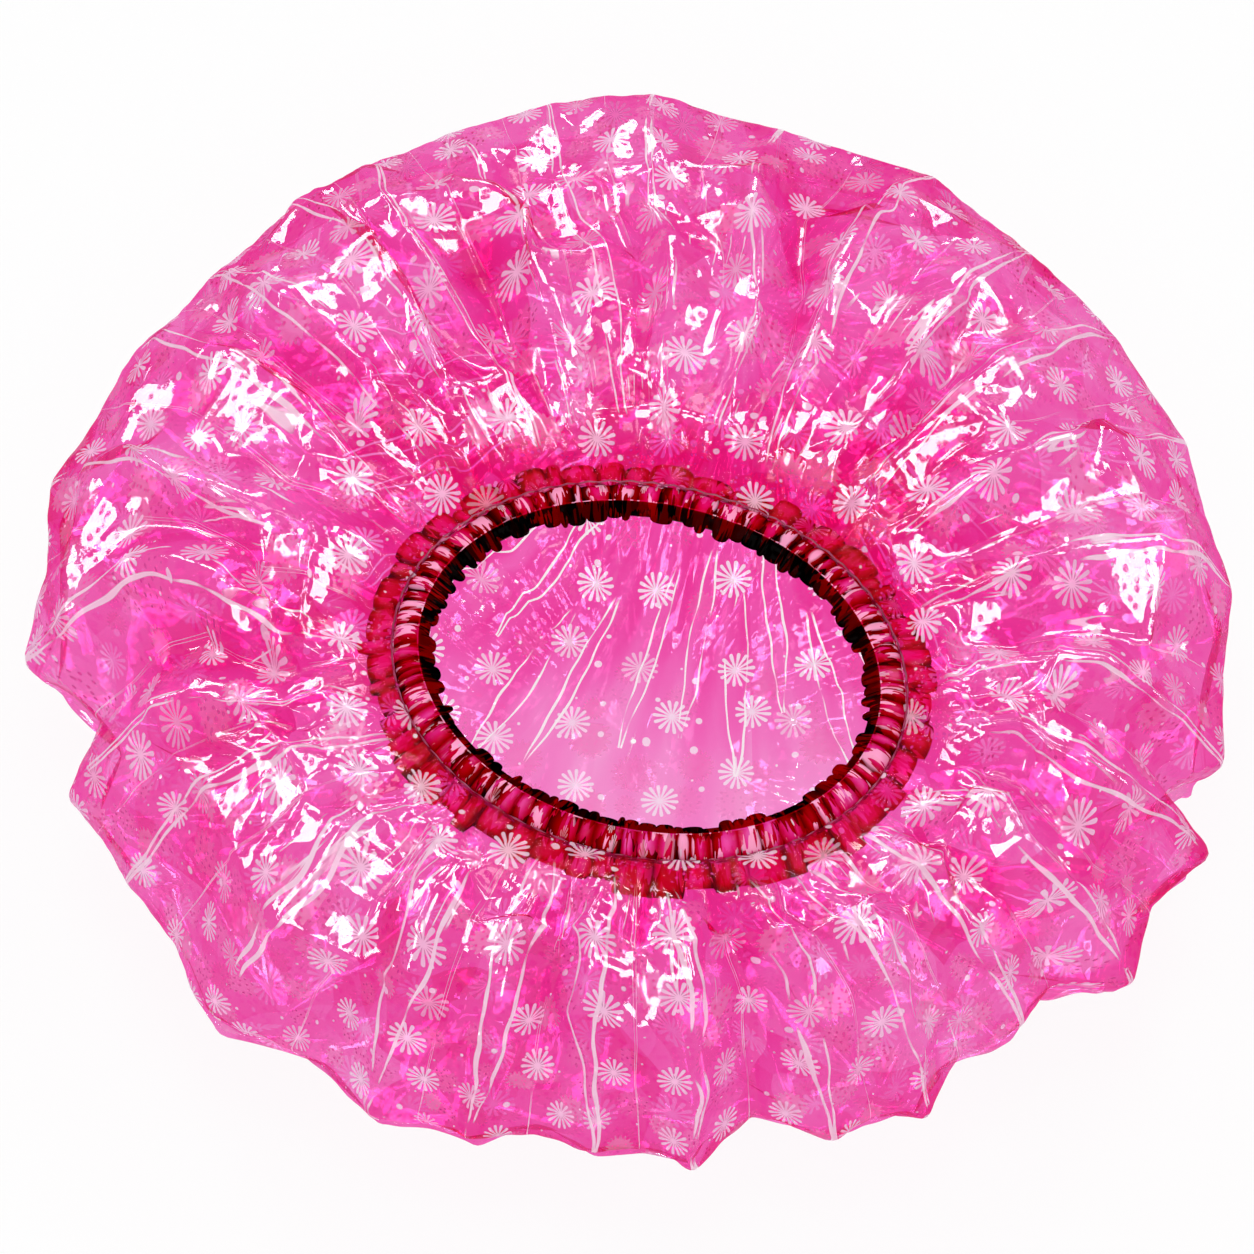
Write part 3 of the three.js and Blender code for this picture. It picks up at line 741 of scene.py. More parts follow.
def ink_nodes(tree, place, sizes):
    """The share of ink of the daisies and the dots at a place on the print."""
    flower = daisy_nodes(tree, place, sizes)
    shifted = add(tree, "VectorMath", (place, (0.31, 0.17, 0)), "ADD")
    cell = add(
        tree,
        "TexVoronoi",
        {"Vector": shifted, "Scale": 1 / sizes.dot_spacing, "Randomness": 1},
        voronoi_dimensions="2D",
    )
    chance = add(tree, "SeparateColor", (cell.outputs["Color"],))
    size = add(
        tree, "MapRange", (chance.outputs[0], 0, 0.5, sizes.dot_radius, 0.3 * sizes.dot_radius)
    )
    size = add(tree, "Math", (size, 1 / sizes.dot_spacing), "MULTIPLY")
    gap = add(tree, "Math", (size, cell.outputs["Distance"]), "SUBTRACT")
    dot = add(tree, "MapRange", (gap, -0.006, 0.006, 0, 0.95))
    return add(tree, "Math", (flower, dot), "MAXIMUM")


def fan_nodes(tree):
    """Creases that fan out over the underside: how far off the nearest one a place is, where along
    it the place is, from 0 to 1, its random number, and a noise in streaks along them."""
    where = add(tree, "TexCoord").outputs["Object"]
    away = add(tree, "VectorMath", (where, (FAN_START[0] * MM, FAN_START[1] * MM, 0)), "SUBTRACT")
    away = add(tree, "VectorMath", (away, (1, 1, 0)), "MULTIPLY")
    far = add(tree, "VectorMath", (away,), "LENGTH").outputs["Value"]
    parts = add(tree, "SeparateXYZ", (away,))
    turn = add(tree, "Math", (parts.outputs["X"], parts.outputs["Y"]), "ARCTAN2")
    spacing = math.radians(FAN_SPACING)
    turn = add(tree, "Math", (turn, 1 / spacing), "MULTIPLY")
    fold = add(tree, "Math", (turn,), "FLOOR")
    chance = add(tree, "TexWhiteNoise", {"W": fold}, noise_dimensions="1D")
    chance = add(tree, "SeparateColor", (chance.outputs["Color"],))
    middle = add(tree, "MapRange", (chance.outputs[0], 0, 1, 0.25, 0.75))
    off = add(tree, "Math", (turn, fold), "SUBTRACT")
    off = add(tree, "Math", (off, middle), "SUBTRACT")
    off = add(tree, "Math", (off, spacing), "MULTIPLY")
    off = add(tree, "Math", (off, far), "MULTIPLY")
    first = add(tree, "MapRange", (chance.outputs[1], 0, 1, 45 * MM, 85 * MM))
    along = add(tree, "Math", (far, first), "SUBTRACT")
    along = add(tree, "Math", (along, 1 / (58 * MM)), "MULTIPLY")
    spread = add(tree, "Math", (far, 14), "MULTIPLY")
    spread = add(tree, "CombineXYZ", (turn, spread, 0))
    streaks = add(tree, "TexNoise", {"Vector": spread, "Scale": 1.1, "Detail": 2})
    return off, along, chance.outputs[2], streaks


def crease_highlight_nodes(tree, place, crease_highlight, side, fan):
    """Pale double lines where the film creases sharply: partly film whitened there and partly
    painted highlights that stand in for glints. They run beside the ridges, strongest near their
    tips, and along the folds of the underside. They are 0.7 to 1 mm wide where they are widest."""
    fan_off, fan_along, fan_chance, _ = fan
    broad = add(tree, "MapRange", (crease_highlight["Z"], -1, 1, 0.8 * MM, 4.5 * MM))
    fan_broad = add(tree, "MapRange", (fan_chance, 0, 1, 0.8 * MM, 2.8 * MM))
    off, along, broad = (
        add(tree, "Mix", {0: side, 2: over, 3: under}, data_type="FLOAT")
        for over, under in (
            (crease_highlight["X"], fan_off),
            (crease_highlight["Y"], fan_along),
            (broad, fan_broad),
        )
    )
    wander = add(tree, "TexNoise", {"Vector": place, "Scale": 55, "Detail": 1})
    wander = add(tree, "MapRange", (wander, 0.25, 0.75, -0.9 * MM, 0.9 * MM))
    off = add(tree, "Math", (off, wander), "ADD")
    off = add(tree, "Math", (off,), "ABSOLUTE")
    swell = add(tree, "Math", (along, math.pi), "MULTIPLY")
    swell = add(tree, "Math", (swell,), "SINE")
    apart = add(tree, "Math", (swell, broad, 0.3 * MM), "MULTIPLY_ADD")
    off = add(tree, "Math", (off, apart), "SUBTRACT")
    off = add(tree, "Math", (off,), "ABSOLUTE")
    near = add(tree, "MapRange", (along, 0.1, 0.8, 0.05, -0.06))
    near = add(tree, "Mix", {0: side, 2: near, 3: -0.05}, data_type="FLOAT")
    broken = add(tree, "TexNoise", {"Vector": place, "Scale": 48, "Detail": 2})
    broken = add(tree, "Math", (broken, near), "SUBTRACT")
    widest = add(tree, "MapRange", (side, 0, 1, 0.5 * MM, 0.34 * MM))
    wide = add(tree, "MapRange", (broken, 0.42, 0.7, 0.12 * MM, widest))
    line = add(tree, "Math", (wide, off), "SUBTRACT")
    line = add(tree, "MapRange", (line, -0.06 * MM, 0.04 * MM, 0, 1))
    broken = add(tree, "MapRange", (broken, 0.42, 0.5, 0, 1))
    started = add(tree, "MapRange", (along, 0.06, 0.1, 0, 1))
    unended = add(tree, "Math", (along, 1.0001), "LESS_THAN")
    for factor in (broken, started, unended):
        line = add(tree, "Math", (line, factor), "MULTIPLY")
    return line


def crumpled_nodes(tree, streak, layers, light, painted_highlight_share):
    """The layers and the painted highlights of film that is bunched on the elastic: small crisp
    patches, long across the hem, that differ in how deep they lie, of which some are painted pale
    as if they caught the light."""
    bend = add(tree, "TexNoise", {"Vector": streak, "Scale": 13, "Detail": 1})
    spread = add(tree, "VectorMath", (streak, (5, 5, 38)), "MULTIPLY")
    spread = add(
        tree, "VectorMath", (bend.outputs["Color"], (2.2, 2.2, 2.2), spread), "MULTIPLY_ADD"
    )
    cell = add(tree, "TexVoronoi", {"Vector": spread, "Scale": 1, "Randomness": 1})
    chance = add(tree, "SeparateColor", (cell.outputs["Color"],))
    depth = add(tree, "Math", (chance.outputs[0], 1.8), "POWER")
    depth = add(tree, "MapRange", (depth, 0, 1, 0.7, 4))
    least = 1 - painted_highlight_share
    pale = add(tree, "MapRange", (chance.outputs[1], least, least + 0.03, 0, 0.8))
    pale = add(tree, "Math", (pale, light), "MULTIPLY")
    layers = add(tree, "Math", (layers, depth), "MULTIPLY")
    return layers, pale


def relief_nodes(tree, place, streak):
    """Fine creases along the folds, a crumple in dents about 20 mm across, and the height of both
    together with two sizes of flat facets, which catch the light one by one. Last come the
    facets' random colours."""
    fine = add(tree, "VectorMath", (streak, (24, 24, 1.7)), "MULTIPLY")
    lines = add(tree, "TexNoise", {"Vector": fine, "Scale": 1, "Detail": 1})
    crumple = add(tree, "TexNoise", {"Vector": place, "Scale": 48, "Detail": 1})
    height = add(tree, "Math", (lines, 0.16 * MM), "MULTIPLY")
    height = add(tree, "Math", (crumple, 0.5 * MM, height), "MULTIPLY_ADD")
    chances = []
    for stretch, tilt in FILM_FACETS:
        spread = add(tree, "VectorMath", (streak, stretch), "MULTIPLY")
        bend = add(tree, "TexNoise", {"Vector": spread, "Scale": 0.8, "Detail": 1})
        spread = add(
            tree, "VectorMath", (bend.outputs["Color"], (1.1, 1.1, 1.1), spread), "MULTIPLY_ADD"
        )
        facet = add(tree, "TexVoronoi", {"Vector": spread, "Scale": 1, "Randomness": 1})
        chance, middle = facet.outputs["Color"], facet.outputs["Position"]
        local = add(tree, "VectorMath", (spread, middle), "SUBTRACT")
        slope = add(tree, "VectorMath", (chance, (0.5, 0.5, 0.5)), "SUBTRACT")
        lean = add(tree, "VectorMath", (local, slope), "DOT_PRODUCT")
        height = add(tree, "Math", (lean.outputs["Value"], tilt, height), "MULTIPLY_ADD")
        chances.append(chance)
    return lines, crumple, height, chances


def tone_nodes(tree, layers, side, chances, streaks):
    """The film's layers with the tones of its facets, and on the underside more with the folds
    that fan out there."""
    folded = add(tree, "MapRange", (streaks, 0.36, 0.64, 0.86, 1.14))
    even = add(tree, "Math", (side, 0.85), "MULTIPLY")
    for chance, (least, most) in zip(chances, ((0.65, 1.5), (0.8, 1.25))):
        tone = add(tree, "SeparateColor", (chance,)).outputs[1]
        tone = add(tree, "MapRange", (tone, 0, 1, least, most))
        tone = add(tree, "Mix", {0: even, 2: tone, 3: folded}, data_type="FLOAT")
        layers = add(tree, "Math", (layers, tone), "MULTIPLY")
    return layers


def hairline_highlight_nodes(tree, lines, crumple, top_share, side):
    """Hairlines along the folds, in places, on the upper film between the seam and the tips:
    painted highlights, drawn like the whitened creases.
    """
    off = add(tree, "Math", (lines, 0.5), "SUBTRACT")
    off = add(tree, "Math", (off,), "ABSOLUTE")
    line = add(tree, "MapRange", (off, 0.02, 0.012, 0, 1))
    gate = add(tree, "MapRange", (crumple, 0.57, 0.62, 0, 1), interpolation_type="SMOOTHSTEP")
    off_seam = add(tree, "MapRange", (top_share, 0.08, 0.14, 0, 1))
    off_tips = add(tree, "MapRange", (top_share, 0.7, 0.6, 0, 1))
    upper = add(tree, "Math", (1, side), "SUBTRACT")
    for factor in (gate, off_seam, off_tips, upper):
        line = add(tree, "Math", (line, factor), "MULTIPLY")
    return line


def tint_nodes(tree, colours, layers):
    """The film's colour through so many layers."""
    powers = add(tree, "CombineXYZ", (layers, layers, layers))
    film = tuple(colours.film)
    return add(tree, "VectorMath", (film, powers), "POWER").outputs[0]


def pale_nodes(tree, rgb, lit_share, sheer_share):
    """Ink, or the crease lines, which are partly whitened film and partly painted highlights:
    matte, with a share that lets light through, and a share that is clear, so that what lies behind
    still shows."""
    matte = add(tree, "BsdfDiffuse", {"Color": (*rgb, 1)})
    lit = add(tree, "BsdfTranslucent", {"Color": (*rgb, 1)})
    matte = add(tree, "MixShader", (lit_share, matte, lit))
    sheer = add(tree, "BsdfTransparent", {"Color": (*rgb, 1)})
    return add(tree, "MixShader", (sheer_share, matte, sheer))


def gloss_nodes(tree, colours, bump):
    """How much the film mirrors, more where it is seen at a flat angle."""
    tilt = add(tree, "LayerWeight", {"Blend": 0.5, "Normal": bump}).outputs["Facing"]
    tilt = add(tree, "Math", (tilt, 5), "POWER")
    least, most = 0.04 * colours.gloss, 0.15 * colours.gloss
    return add(tree, "MapRange", (tilt, 0, 1, least, most))


def finish_film(tree, colours, body, tint, bump, gloss):
    """Lays the mirror gloss over the film, and lets light that goes on to other surfaces pass
    through its colour alone, so that its shadows are clear and pink."""
    mirror = add(
        tree,
        "BsdfAnisotropic",
        {"Color": (1, 1, 1, 1), "Roughness": colours.roughness, "Normal": bump},
        distribution="GGX",
    )
    surface = add(tree, "MixShader", (gloss, body, mirror))
    ray = add(tree, "LightPath").outputs
    onward = add(tree, "Math", (ray["Is Shadow Ray"], ray["Is Diffuse Ray"]), "MAXIMUM")
    clear = add(tree, "BsdfTransparent", {"Color": tint})
    surface = add(tree, "MixShader", (onward, surface, clear))
    add(tree, "OutputMaterial", {"Surface": surface})


def film_material(name, colours, sizes):
    """Calendered vinyl film, printed on one face: clear pink that deepens with each layer, wet
    mirror gloss on every small facet, pale matte ink, and white lines where it is creased, which
    are partly painted highlights."""
    material, tree = new_material(name)
    print_top, print_under, streak, crease_highlight = (
        add(tree, "Attribute", attribute_name=key).outputs["Vector"]
        for key in ("print_top", "print_under", "streak", "crease_highlight")
    )
    layers, side, off_hem = (
        add(tree, "Attribute", attribute_name=key).outputs["Fac"]
        for key in ("layers", "beneath", "off_hem")
    )
    side = add(tree, "Math", (side, 0.5), "GREATER_THAN")
    place = add(tree, "Mix", {0: side, 4: print_top, 5: print_under}, data_type="VECTOR").outputs[1]
    ink = ink_nodes(tree, place, sizes)
    blush_and_highlight, speck = rosette_nodes(tree, place, sizes)
    blush_and_highlight = add(tree, "Math", (blush_and_highlight, off_hem), "MULTIPLY")
    upper = add(tree, "MapRange", (side, 0, 1, 1, 0.15))
    speck = add(tree, "Math", (speck, upper), "MULTIPLY")

    lines, crumple, height, chances = relief_nodes(tree, place, streak)
    fan = fan_nodes(tree)
    layers = tone_nodes(tree, layers, side, chances, fan[-1])
    crease_highlight = add(tree, "SeparateXYZ", (crease_highlight,)).outputs
    # White hairlines and crease lines: painted highlights along the folds, partly film whitened
    # where it creases.
    line = hairline_highlight_nodes(tree, lines, crumple, crease_highlight["Y"], side)
    sharp_highlight = crease_highlight_nodes(tree, place, crease_highlight, side, fan)
    line = add(tree, "Math", (line, sharp_highlight), "MAXIMUM")
    line = add(tree, "Math", (line, off_hem), "MULTIPLY")

    tint = tint_nodes(tree, colours, layers)
    clear = add(tree, "BsdfTransparent", {"Color": tint})
    scatter = add(tree, "BsdfTranslucent", {"Color": (*colours.haze, 1)})
    matte = add(tree, "BsdfDiffuse", {"Color": (*colours.haze, 1)})
    haze = add(tree, "MixShader", (0.5, scatter, matte))
    thin = add(tree, "Math", (colours.haze_share, layers), "DIVIDE")
    body = add(tree, "MixShader", (thin, clear, haze))
    pale = add(tree, "BsdfDiffuse", {"Color": (*colours.blush_and_highlight, 1)})
    dark = add(tree, "BsdfDiffuse", {"Color": (*colours.speck, 1)})
    solid = add(tree, "Math", (ink, 0.95), "MULTIPLY")
    sheer_share = add(tree, "MapRange", (side, 0, 1, 0.25, 0.85))
    printed = pale_nodes(tree, colours.ink, lit_share=0.3, sheer_share=sheer_share)
    # Matte white of the crease lines: partly whitened film, partly painted highlight.
    creased = pale_nodes(tree, colours.crease_highlight, lit_share=0.4, sheer_share=sheer_share)
    for share, shader in ((blush_and_highlight, pale), (speck, dark), (solid, printed), (line, creased)):
        body = add(tree, "MixShader", (share, body, shader))

    # Small pits, about 3 mm apart and drawn larger than real ones, break up the glare. Near the
    # seam the film lies in pleats too small to mirror a lamp.
    bump = add(tree, "Bump", {"Height": height, "Strength": 1, "Distance": 1})
    pit = add(
        tree,
        "TexVoronoi",
        {"Vector": place, "Scale": 300, "Randomness": 1},
        voronoi_dimensions="2D",
    ).outputs["Distance"]
    pit = add(tree, "MapRange", (pit, 0.2, 0.27, 0.15, 1))
    calm = add(tree, "MapRange", (off_hem, 0, 1, 0.08, 1))
    gloss = gloss_nodes(tree, colours, bump)
    for factor in (pit, calm):
        gloss = add(tree, "Math", (gloss, factor), "MULTIPLY")
    finish_film(tree, colours, body, tint, bump, gloss)
    return material


def hem_material(name, colours, sizes, painted_highlight_share):
    """The same vinyl film bunched on the elastic: so many layers that it is a deep red that is
    hardly clear, in small crisp patches, of which a share carry a painted highlight in the blush
    colour."""
    material, tree = new_material(name)
    place, streak = (
        add(tree, "Attribute", attribute_name=key).outputs["Vector"]
        for key in ("print_top", "streak")
    )
    layers = add(tree, "Attribute", attribute_name="layers").outputs["Fac"]
    light = add(tree, "MapRange", (layers, 12, 8, 0, 1))
    ink = ink_nodes(tree, place, sizes)
    ink = add(tree, "Math", (ink, light), "MULTIPLY")
    layers, blush_and_highlight = crumpled_nodes(tree, streak, layers, light, painted_highlight_share)
    _, _, height, _ = relief_nodes(tree, place, streak)

    tint = tint_nodes(tree, colours, layers)
    clear = add(tree, "BsdfTransparent", {"Color": tint})
    haze = add(tree, "BsdfDiffuse", {"Color": tint})
    body = add(tree, "MixShader", (colours.bunched_share, clear, haze))
    # Painted highlights: pale patches of the bunched film, in the blush colour.
    pale = add(tree, "BsdfDiffuse", {"Color": (*colours.blush_and_highlight, 1)})
    body = add(tree, "MixShader", (blush_and_highlight, body, pale))
    solid = add(tree, "Math", (ink, 0.95), "MULTIPLY")
    printed = pale_nodes(tree, colours.ink, lit_share=0.3, sheer_share=0.3)
    body = add(tree, "MixShader", (solid, body, printed))

    bump = add(tree, "Bump", {"Height": height, "Strength": 0.2, "Distance": 1})
    gloss = gloss_nodes(tree, colours, bump)
    dull = add(tree, "MapRange", (layers, 8, 12, 0.08, 0.0032))
    gloss = add(tree, "Math", (gloss, dull), "MULTIPLY")
    finish_film(tree, colours, body, tint, bump, gloss)
    return material


def plain_material(name, rgb, roughness, grain):
    """A solid material with a fine grain, so many grains to the metre, and little gloss."""
    material, tree = new_material(name)
    where = add(tree, "TexCoord").outputs["Object"]
    speckle = add(tree, "TexNoise", {"Vector": where, "Scale": grain, "Detail": 2})
    bump = add(tree, "Bump", {"Height": speckle, "Strength": 0.4, "Distance": 0.1 * MM})
    shade = add(tree, "MapRange", (speckle, 0.3, 0.7, 0.75, 1.1))
    tinted = add(tree, "VectorMath", {0: tuple(rgb), "Scale": shade}, "SCALE")
    body = add(
        tree,
        "BsdfPrincipled",
        {
            "Base Color": tinted.outputs[0],
            "Roughness": roughness,
            "Specular IOR Level": 0.15,
            "Normal": bump,
        },
    )
    add(tree, "OutputMaterial", {"Surface": body})
    return material


def barrels(chance, count, columns):
    """Round-topped gathers of uneven width round the hem: how high each column stands, 0 in the
    creases and 1 on top, and which gather it is on."""
    widths = chance.uniform(0.45, 1.55, count)
    ends = np.concatenate([[0], np.cumsum(widths)]) / widths.sum()
    where = np.arange(columns) / columns
    index = np.searchsorted(ends, where, side="right") - 1
    inside = (where - ends[index]) / (ends[index + 1] - ends[index]) * 2 - 1
    return np.sqrt(np.maximum(1 - inside**2, 0)), index, inside


def casing_rows(columns, sizes):
    """The casing's points in rows from the seam over the elastic and back under it."""
    chance = np.random.default_rng(23)
    place = np.arange(columns) / columns * TURN
    puff, index, inside = barrels(chance, GATHERS, columns)
    tall = chance.uniform(0.35, 1.35, GATHERS)[index]
    skew = chance.uniform(-1, 1, GATHERS)[index]
    lobe, lobe_index, _ = barrels(chance, LOBES, columns)
    lobe = np.sqrt(lobe) * chance.choice([0.05, 0.15, 0.45, 0.7, 0.85, 1.0], LOBES)[lobe_index]
    # Outline of the casing: reach, height, share of the gathers, share of the lobes, layers.
    outline = (
        (1.0, -0.55, 0.35, 0, 11),
        (0.98, 0.0, 0.7, 0, 5),
        (0.9, 0.3, 0.95, 0, 4.5),
        (0.78, 0.55, 1.1, 0, 3.8),
        (0.64, 0.75, 1.15, 0, 3.5),
        (0.5, 0.92, 1.0, 0, 3.5),
        (0.36, 1.02, 0.75, 0, 4),
        (0.25, 1.04, 0.35, 0, 5),
        (0.17, 1.0, 0.1, 0, 5),
        (0.14, 0.94, 0.0, 0, 30),
        (0.06, 0.78, 0.0, 0, 34),
        (-0.02, 0.56, 0.0, 0.05, 34),
        (-0.09, 0.32, 0.1, 0.35, 34),
        (-0.14, 0.1, 0.1, 0.75, 34),
        (-0.16, -0.12, 0.1, 1.0, 34),
        (-0.14, -0.34, 0.1, 0.8, 34),
        (-0.08, -0.5, 0.1, 0.4, 30),
        (0.05, -0.62, 0.1, 0.1, 14),
        (0.3, -0.7, 0.2, 0, 4),
        (0.55, -0.7, 0.3, 0, 3),
        (0.8, -0.66, 0.3, 0, 3),
        (1.0, -0.7, 0.2, 0, 3),
    )
    keys = np.linspace(0, 1, len(outline))
    rows = np.linspace(0, 1, 3 * len(outline))
    out, up, gathered, lobed, layers = (
        np.interp(rows, keys, [line[i] for line in outline])[:, None] for i in range(5)
    )
    bulge = (puff * tall - 0.5) * sizes.gather_rise * gathered
    drop = lobe * sizes.lobe_depth * lobed
    side = np.where(rows[:, None] < 0.62, 1.0, -0.35)
    at = place[None] + skew[None] * 0.012 * np.sin(rows[:, None] * 4) * (1 - inside[None] ** 2)
    points = mouth_points(
        sizes,
        at,
        out * sizes.seam_reach - drop * 1.05,
        up * sizes.hem_rise + bulge * side - drop * 0.4,
    )
    # Painted shade in the creases between the gathers, as extra layers, partly the film folding
    # over there.
    crevice_shade = 1 + 4 * (1 - puff[None]) ** 0.9 * (gathered > 0.2)
    crevice_shade = crevice_shade * chance.choice([0.75, 0.9, 1.3, 1.9], GATHERS)[index]
    bearing = place[None] + 0 * rows[:, None]
    reach = 0.05 + np.cumsum(np.linalg.norm(np.diff(points, axis=0), axis=-1).mean(1))
    reach = np.concatenate([[0.05], reach])[:, None]
    flat = np.stack([bearing * 0.25, reach + 0 * bearing, 0 * bearing], axis=-1)
    return points, {
        "print_top": flat,
        "streak": polar(bearing, 4, reach * 6),
        "layers": layers * crevice_shade,
    }


def allowance_rows(columns, sizes):
    """The cut edge's points in rows from the seam outwards, under the billow."""
    chance = np.random.default_rng(5)
    place = np.arange(columns) / columns * TURN
    puff, index, _ = barrels(chance, PLEATS, columns)
    box = np.clip(puff * 1.5 - 0.35, 0, 1)
    ragged = chance.uniform(0.6, 1.0, PLEATS)[index] - 0.06 * (1 - box)
    part = np.linspace(0, 1, 14)[:, None]
    points = mouth_points(
        sizes,
        place[None] + 0 * part,
        sizes.seam_reach + part * sizes.allowance_width * ragged,
        -0.5 * MM - part * sizes.allowance_drop + (box - 0.5) * 1.3 * MM * smooth(0, 0.3, part),
    )
    bearing = place[None] + 0 * part
    reach = 0.06 + part * sizes.allowance_width
    return points, {
        "print_top": polar(bearing, reach),
        "streak": polar(bearing, 4, reach * 6),
        "layers": 2.6 + 9 * (1 - box) + 6 * smooth(0.7, 1, part),
    }


def elastic_rows(columns, sizes):
    """The elastic band's points, a slanting strip closed round the mouth."""
    place = np.arange(columns) / columns * TURN
    corner = np.linspace(0, TURN, 17)[:, None]
    wide = np.sign(np.cos(corner)) * np.abs(np.cos(corner)) ** 0.3 * sizes.elastic_width / 2
    thick = np.sign(np.sin(corner)) * np.abs(np.sin(corner)) ** 0.3 * sizes.elastic_thickness / 2
    slope = math.radians(45)
    out = wide * math.cos(slope) - thick * math.sin(slope)
    up = wide * math.sin(slope) + thick * math.cos(slope)
    return mouth_points(sizes, place[None] + 0 * corner, out, up), {}


class AddFilm(bpy.types.Operator):
    """Adds the billow of printed film"""

    bl_idname = "shower_cap.add_film"
    bl_label = "Add Film"
    bl_options = {"REGISTER", "UNDO"}

    def execute(self, context):
        sizes, colours = context.scene.cap_sizes, context.scene.cap_colours
        material = film_material("printed_vinyl_film", colours, sizes)
        points, attributes = film_rows(sizes)
        film = closed_mesh("film", points, attributes, material, cap_end=True)
        columns = points.shape[1]
        index = np.arange(len(film.data.vertices))
        row, column = index // columns, index % columns
        off_tips = np.abs(row - ROW_PARTS * (len(TOP_ROW_SHARES) - 1) - 1)
        ridge = column % (COLUMN_PARTS * FACETS) == 0
        held = (row < 3) | (row > len(points) - 6) | (off_tips == 0) | (off_tips <= 1) & ridge
        crumple(film, index[held], sizes)
        finer = film.modifiers.new("smooth", "SUBSURF")
        finer.levels = finer.render_levels = 1
        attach(film, BODY)
        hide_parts("film_billow")
        return {"FINISHED"}


class AddHem(bpy.types.Operator):
    """Adds the gathered casing, the cut edge inside it and the elastic, and gives the stitches
    their thread
    """

    bl_idname = "shower_cap.add_hem"
    bl_label = "Add Hem"
    bl_options = {"REGISTER", "UNDO"}

    def execute(self, context):
        sizes, colours = context.scene.cap_sizes, context.scene.cap_colours
        gathered = hem_material("gathered_vinyl_film", colours, sizes, painted_highlight_share=0.3)
        cut = hem_material("cut_vinyl_film", colours, sizes, painted_highlight_share=0.05)
        # Extruded latex, dark and dull, with a grain of about 0.3 mm.
        rubber = plain_material("latex_rubber", colours.elastic, roughness=0.45, grain=3000)
        # Spun polyester, matt with a grain of about 0.2 mm, as its twisted strands are.
        thread = plain_material("polyester_thread", colours.thread, roughness=0.6, grain=6000)
        points, attributes = casing_rows(CASING_COLUMNS, sizes)
        casing = closed_mesh("casing", points, attributes, gathered)
        points, attributes = allowance_rows(ALLOWANCE_COLUMNS, sizes)
        allowance = closed_mesh("allowance", points, attributes, cut)
        points, attributes = elastic_rows(ELASTIC_COLUMNS, sizes)
        elastic = closed_mesh("elastic", points, attributes, rubber)
        for piece, node, slot in (
            (casing, "hem_casing", "gathered_film"),
            (allowance, "hem_allowance", "gathered_film"),
            (elastic, "elastic_loop", "elastic"),
        ):
            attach(piece, BODY)
            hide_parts(node)
        for node in ("needle_thread", "bobbin_thread"):
            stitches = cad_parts[node]
            stitches.data.materials.clear()
            stitches.data.materials.append(thread)
        return {"FINISHED"}


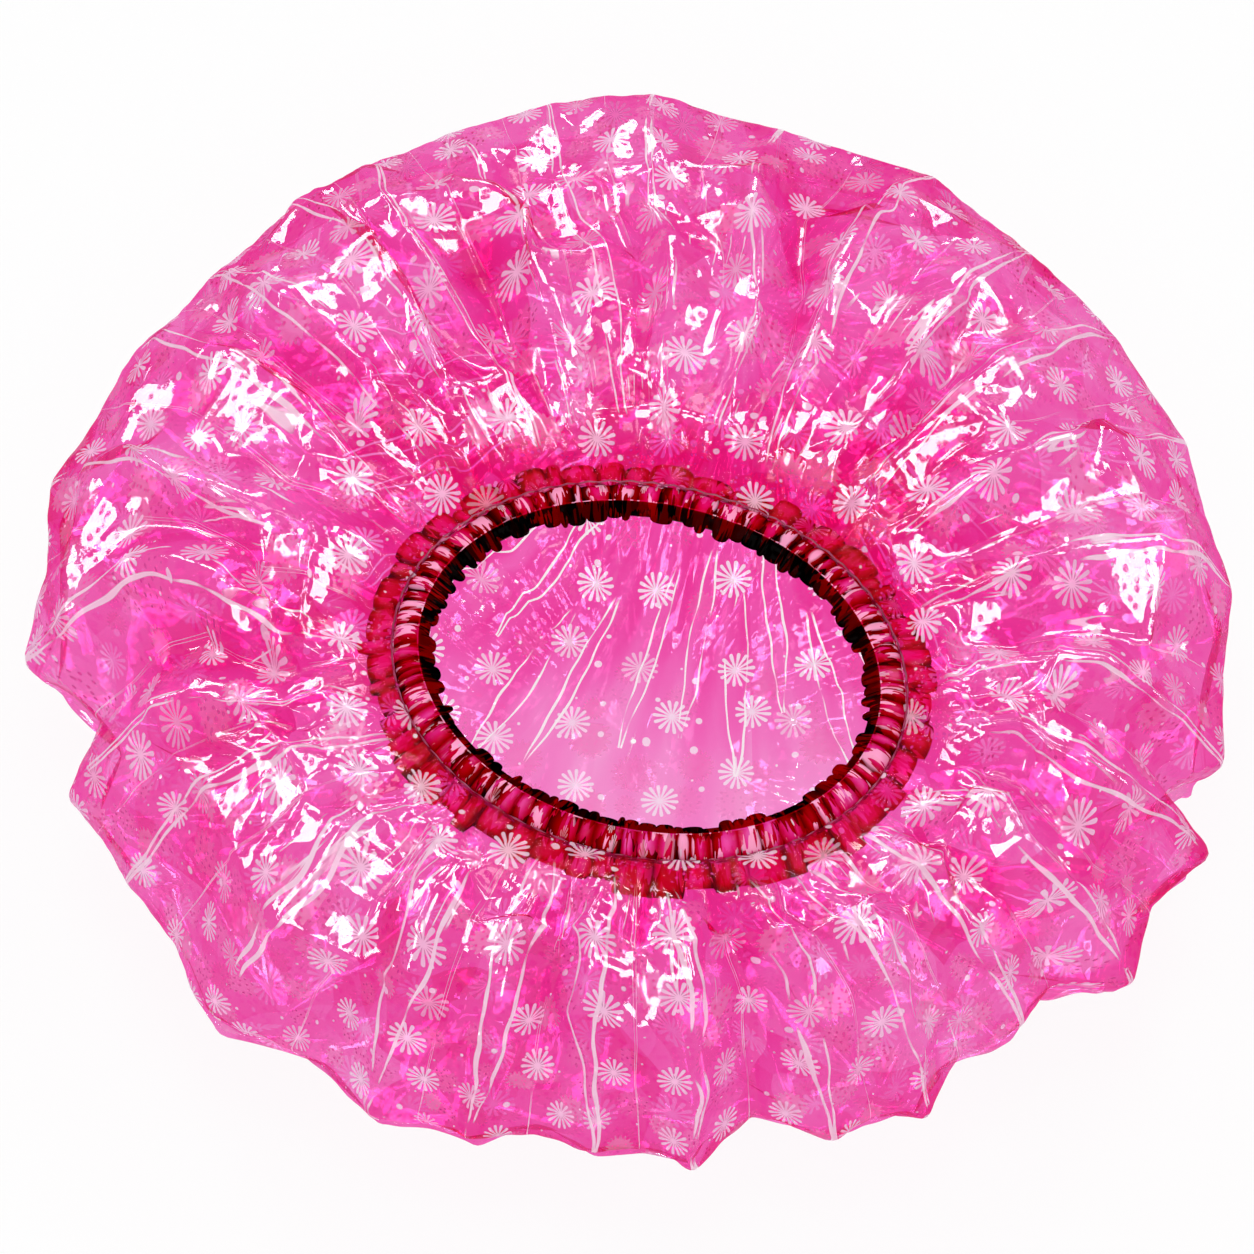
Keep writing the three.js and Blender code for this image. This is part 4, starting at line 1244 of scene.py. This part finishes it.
class SetStage(bpy.types.Operator):
    """Sets up the floor, the lights and the camera"""

    bl_idname = "shower_cap.set_stage"
    bl_label = "Set Stage"
    bl_options = {"REGISTER", "UNDO"}

    def execute(self, context):
        stage = context.scene.cap_stage
        scene = context.scene
        bm = bmesh.new()
        bmesh.ops.create_grid(bm, x_segments=1, y_segments=1, size=stage.floor_size / 2)
        mesh = bpy.data.meshes.new("floor")
        bm.to_mesh(mesh)
        bm.free()
        material, tree = new_material("white_floor")
        glow = add(tree, "Emission", {"Color": (1, 1, 1, 1), "Strength": 1})
        paper = add(tree, "BsdfDiffuse", {"Color": (0.9, 0.9, 0.9, 1)})
        part = add(tree, "Math", (seen_rays(tree), 0.9), "MULTIPLY")
        mixed = add(tree, "MixShader", (part, paper, glow))
        add(tree, "OutputMaterial", {"Surface": mixed})
        mesh.materials.append(material)
        floor = bpy.data.objects.new("floor", mesh)
        context.collection.objects.link(floor)

        world = bpy.data.worlds.new("world")
        scene.world = world
        world.use_nodes = True
        tree = world.node_tree
        tree.nodes.clear()
        soft = add(tree, "Background", {"Color": (1, 1, 1, 1), "Strength": stage.ambient})
        white = add(tree, "Background", {"Color": (1, 1, 1, 1), "Strength": 1})
        mixed = add(tree, "MixShader", (seen_rays(tree), soft, white))
        add(tree, "OutputWorld", {"Surface": mixed})

        middle = Vector((0, 0, 80 * MM))
        for azimuth, elevation, wide, high, brightness, lights_matte in LAMPS:
            a, e = math.radians(azimuth), math.radians(elevation)
            toward = Vector((math.sin(a) * math.cos(e), -math.cos(a) * math.cos(e), math.sin(e)))
            lamp = bpy.data.lights.new("softbox", "AREA")
            lamp.shape = "RECTANGLE"
            lamp.size, lamp.size_y = wide, high
            lamp.energy = brightness * math.pi * wide * high
            holder = bpy.data.objects.new("softbox", lamp)
            holder.location = middle + toward
            holder.rotation_euler = toward.to_track_quat("Z", "Y").to_euler()
            holder.visible_diffuse = lights_matte
            context.collection.objects.link(holder)

        camera = bpy.data.cameras.new("camera")
        camera.lens = stage.lens
        camera.sensor_width = 36
        camera.clip_end = 20
        holder = bpy.data.objects.new("camera", camera)
        aim = Vector((stage.aim_x, stage.aim_y, stage.aim_z))
        toward = Vector((0, -math.cos(stage.elevation), math.sin(stage.elevation)))
        holder.location = aim + toward * stage.distance
        holder.rotation_euler = toward.to_track_quat("Z", "Y").to_euler()
        context.collection.objects.link(holder)
        scene.camera = holder
        scene.cycles.transparent_max_bounces = 40
        scene.cycles.diffuse_bounces = 1
        scene.cycles.glossy_bounces = 2
        scene.view_settings.view_transform = "Standard"
        return {"FINISHED"}


class CapPanel(bpy.types.Panel):
    """Lists the cap's sizes, its colours and the stage, with the operators that make them"""

    bl_idname = "VIEW3D_PT_shower_cap"
    bl_label = "Shower Cap"
    bl_space_type = "VIEW_3D"
    bl_region_type = "UI"
    bl_category = "Shower Cap"

    def draw(self, context):
        for operators, group in (
            ((AddFilm, AddHem), context.scene.cap_sizes),
            ((), context.scene.cap_colours),
            ((SetStage,), context.scene.cap_stage),
        ):
            box = self.layout.box()
            for operator in operators:
                box.operator(operator.bl_idname)
            for key in group.__annotations__:
                box.prop(group, key)


CLASSES = (CapSizes, CapColours, StageSettings, AddFilm, AddHem, SetStage, CapPanel)


def register():
    """Registers the classes and the scene's settings."""
    for entry in CLASSES:
        bpy.utils.register_class(entry)
    bpy.types.Scene.cap_sizes = PointerProperty(type=CapSizes)
    bpy.types.Scene.cap_colours = PointerProperty(type=CapColours)
    bpy.types.Scene.cap_stage = PointerProperty(type=StageSettings)


def unregister():
    """Takes the classes and the settings away again."""
    del bpy.types.Scene.cap_sizes
    del bpy.types.Scene.cap_colours
    del bpy.types.Scene.cap_stage
    for entry in reversed(CLASSES):
        bpy.utils.unregister_class(entry)


def main():
    """Makes the whole scene."""
    register()
    bpy.ops.shower_cap.add_film()
    bpy.ops.shower_cap.add_hem()
    bpy.ops.shower_cap.set_stage()


if __name__ == "__main__":
    main()
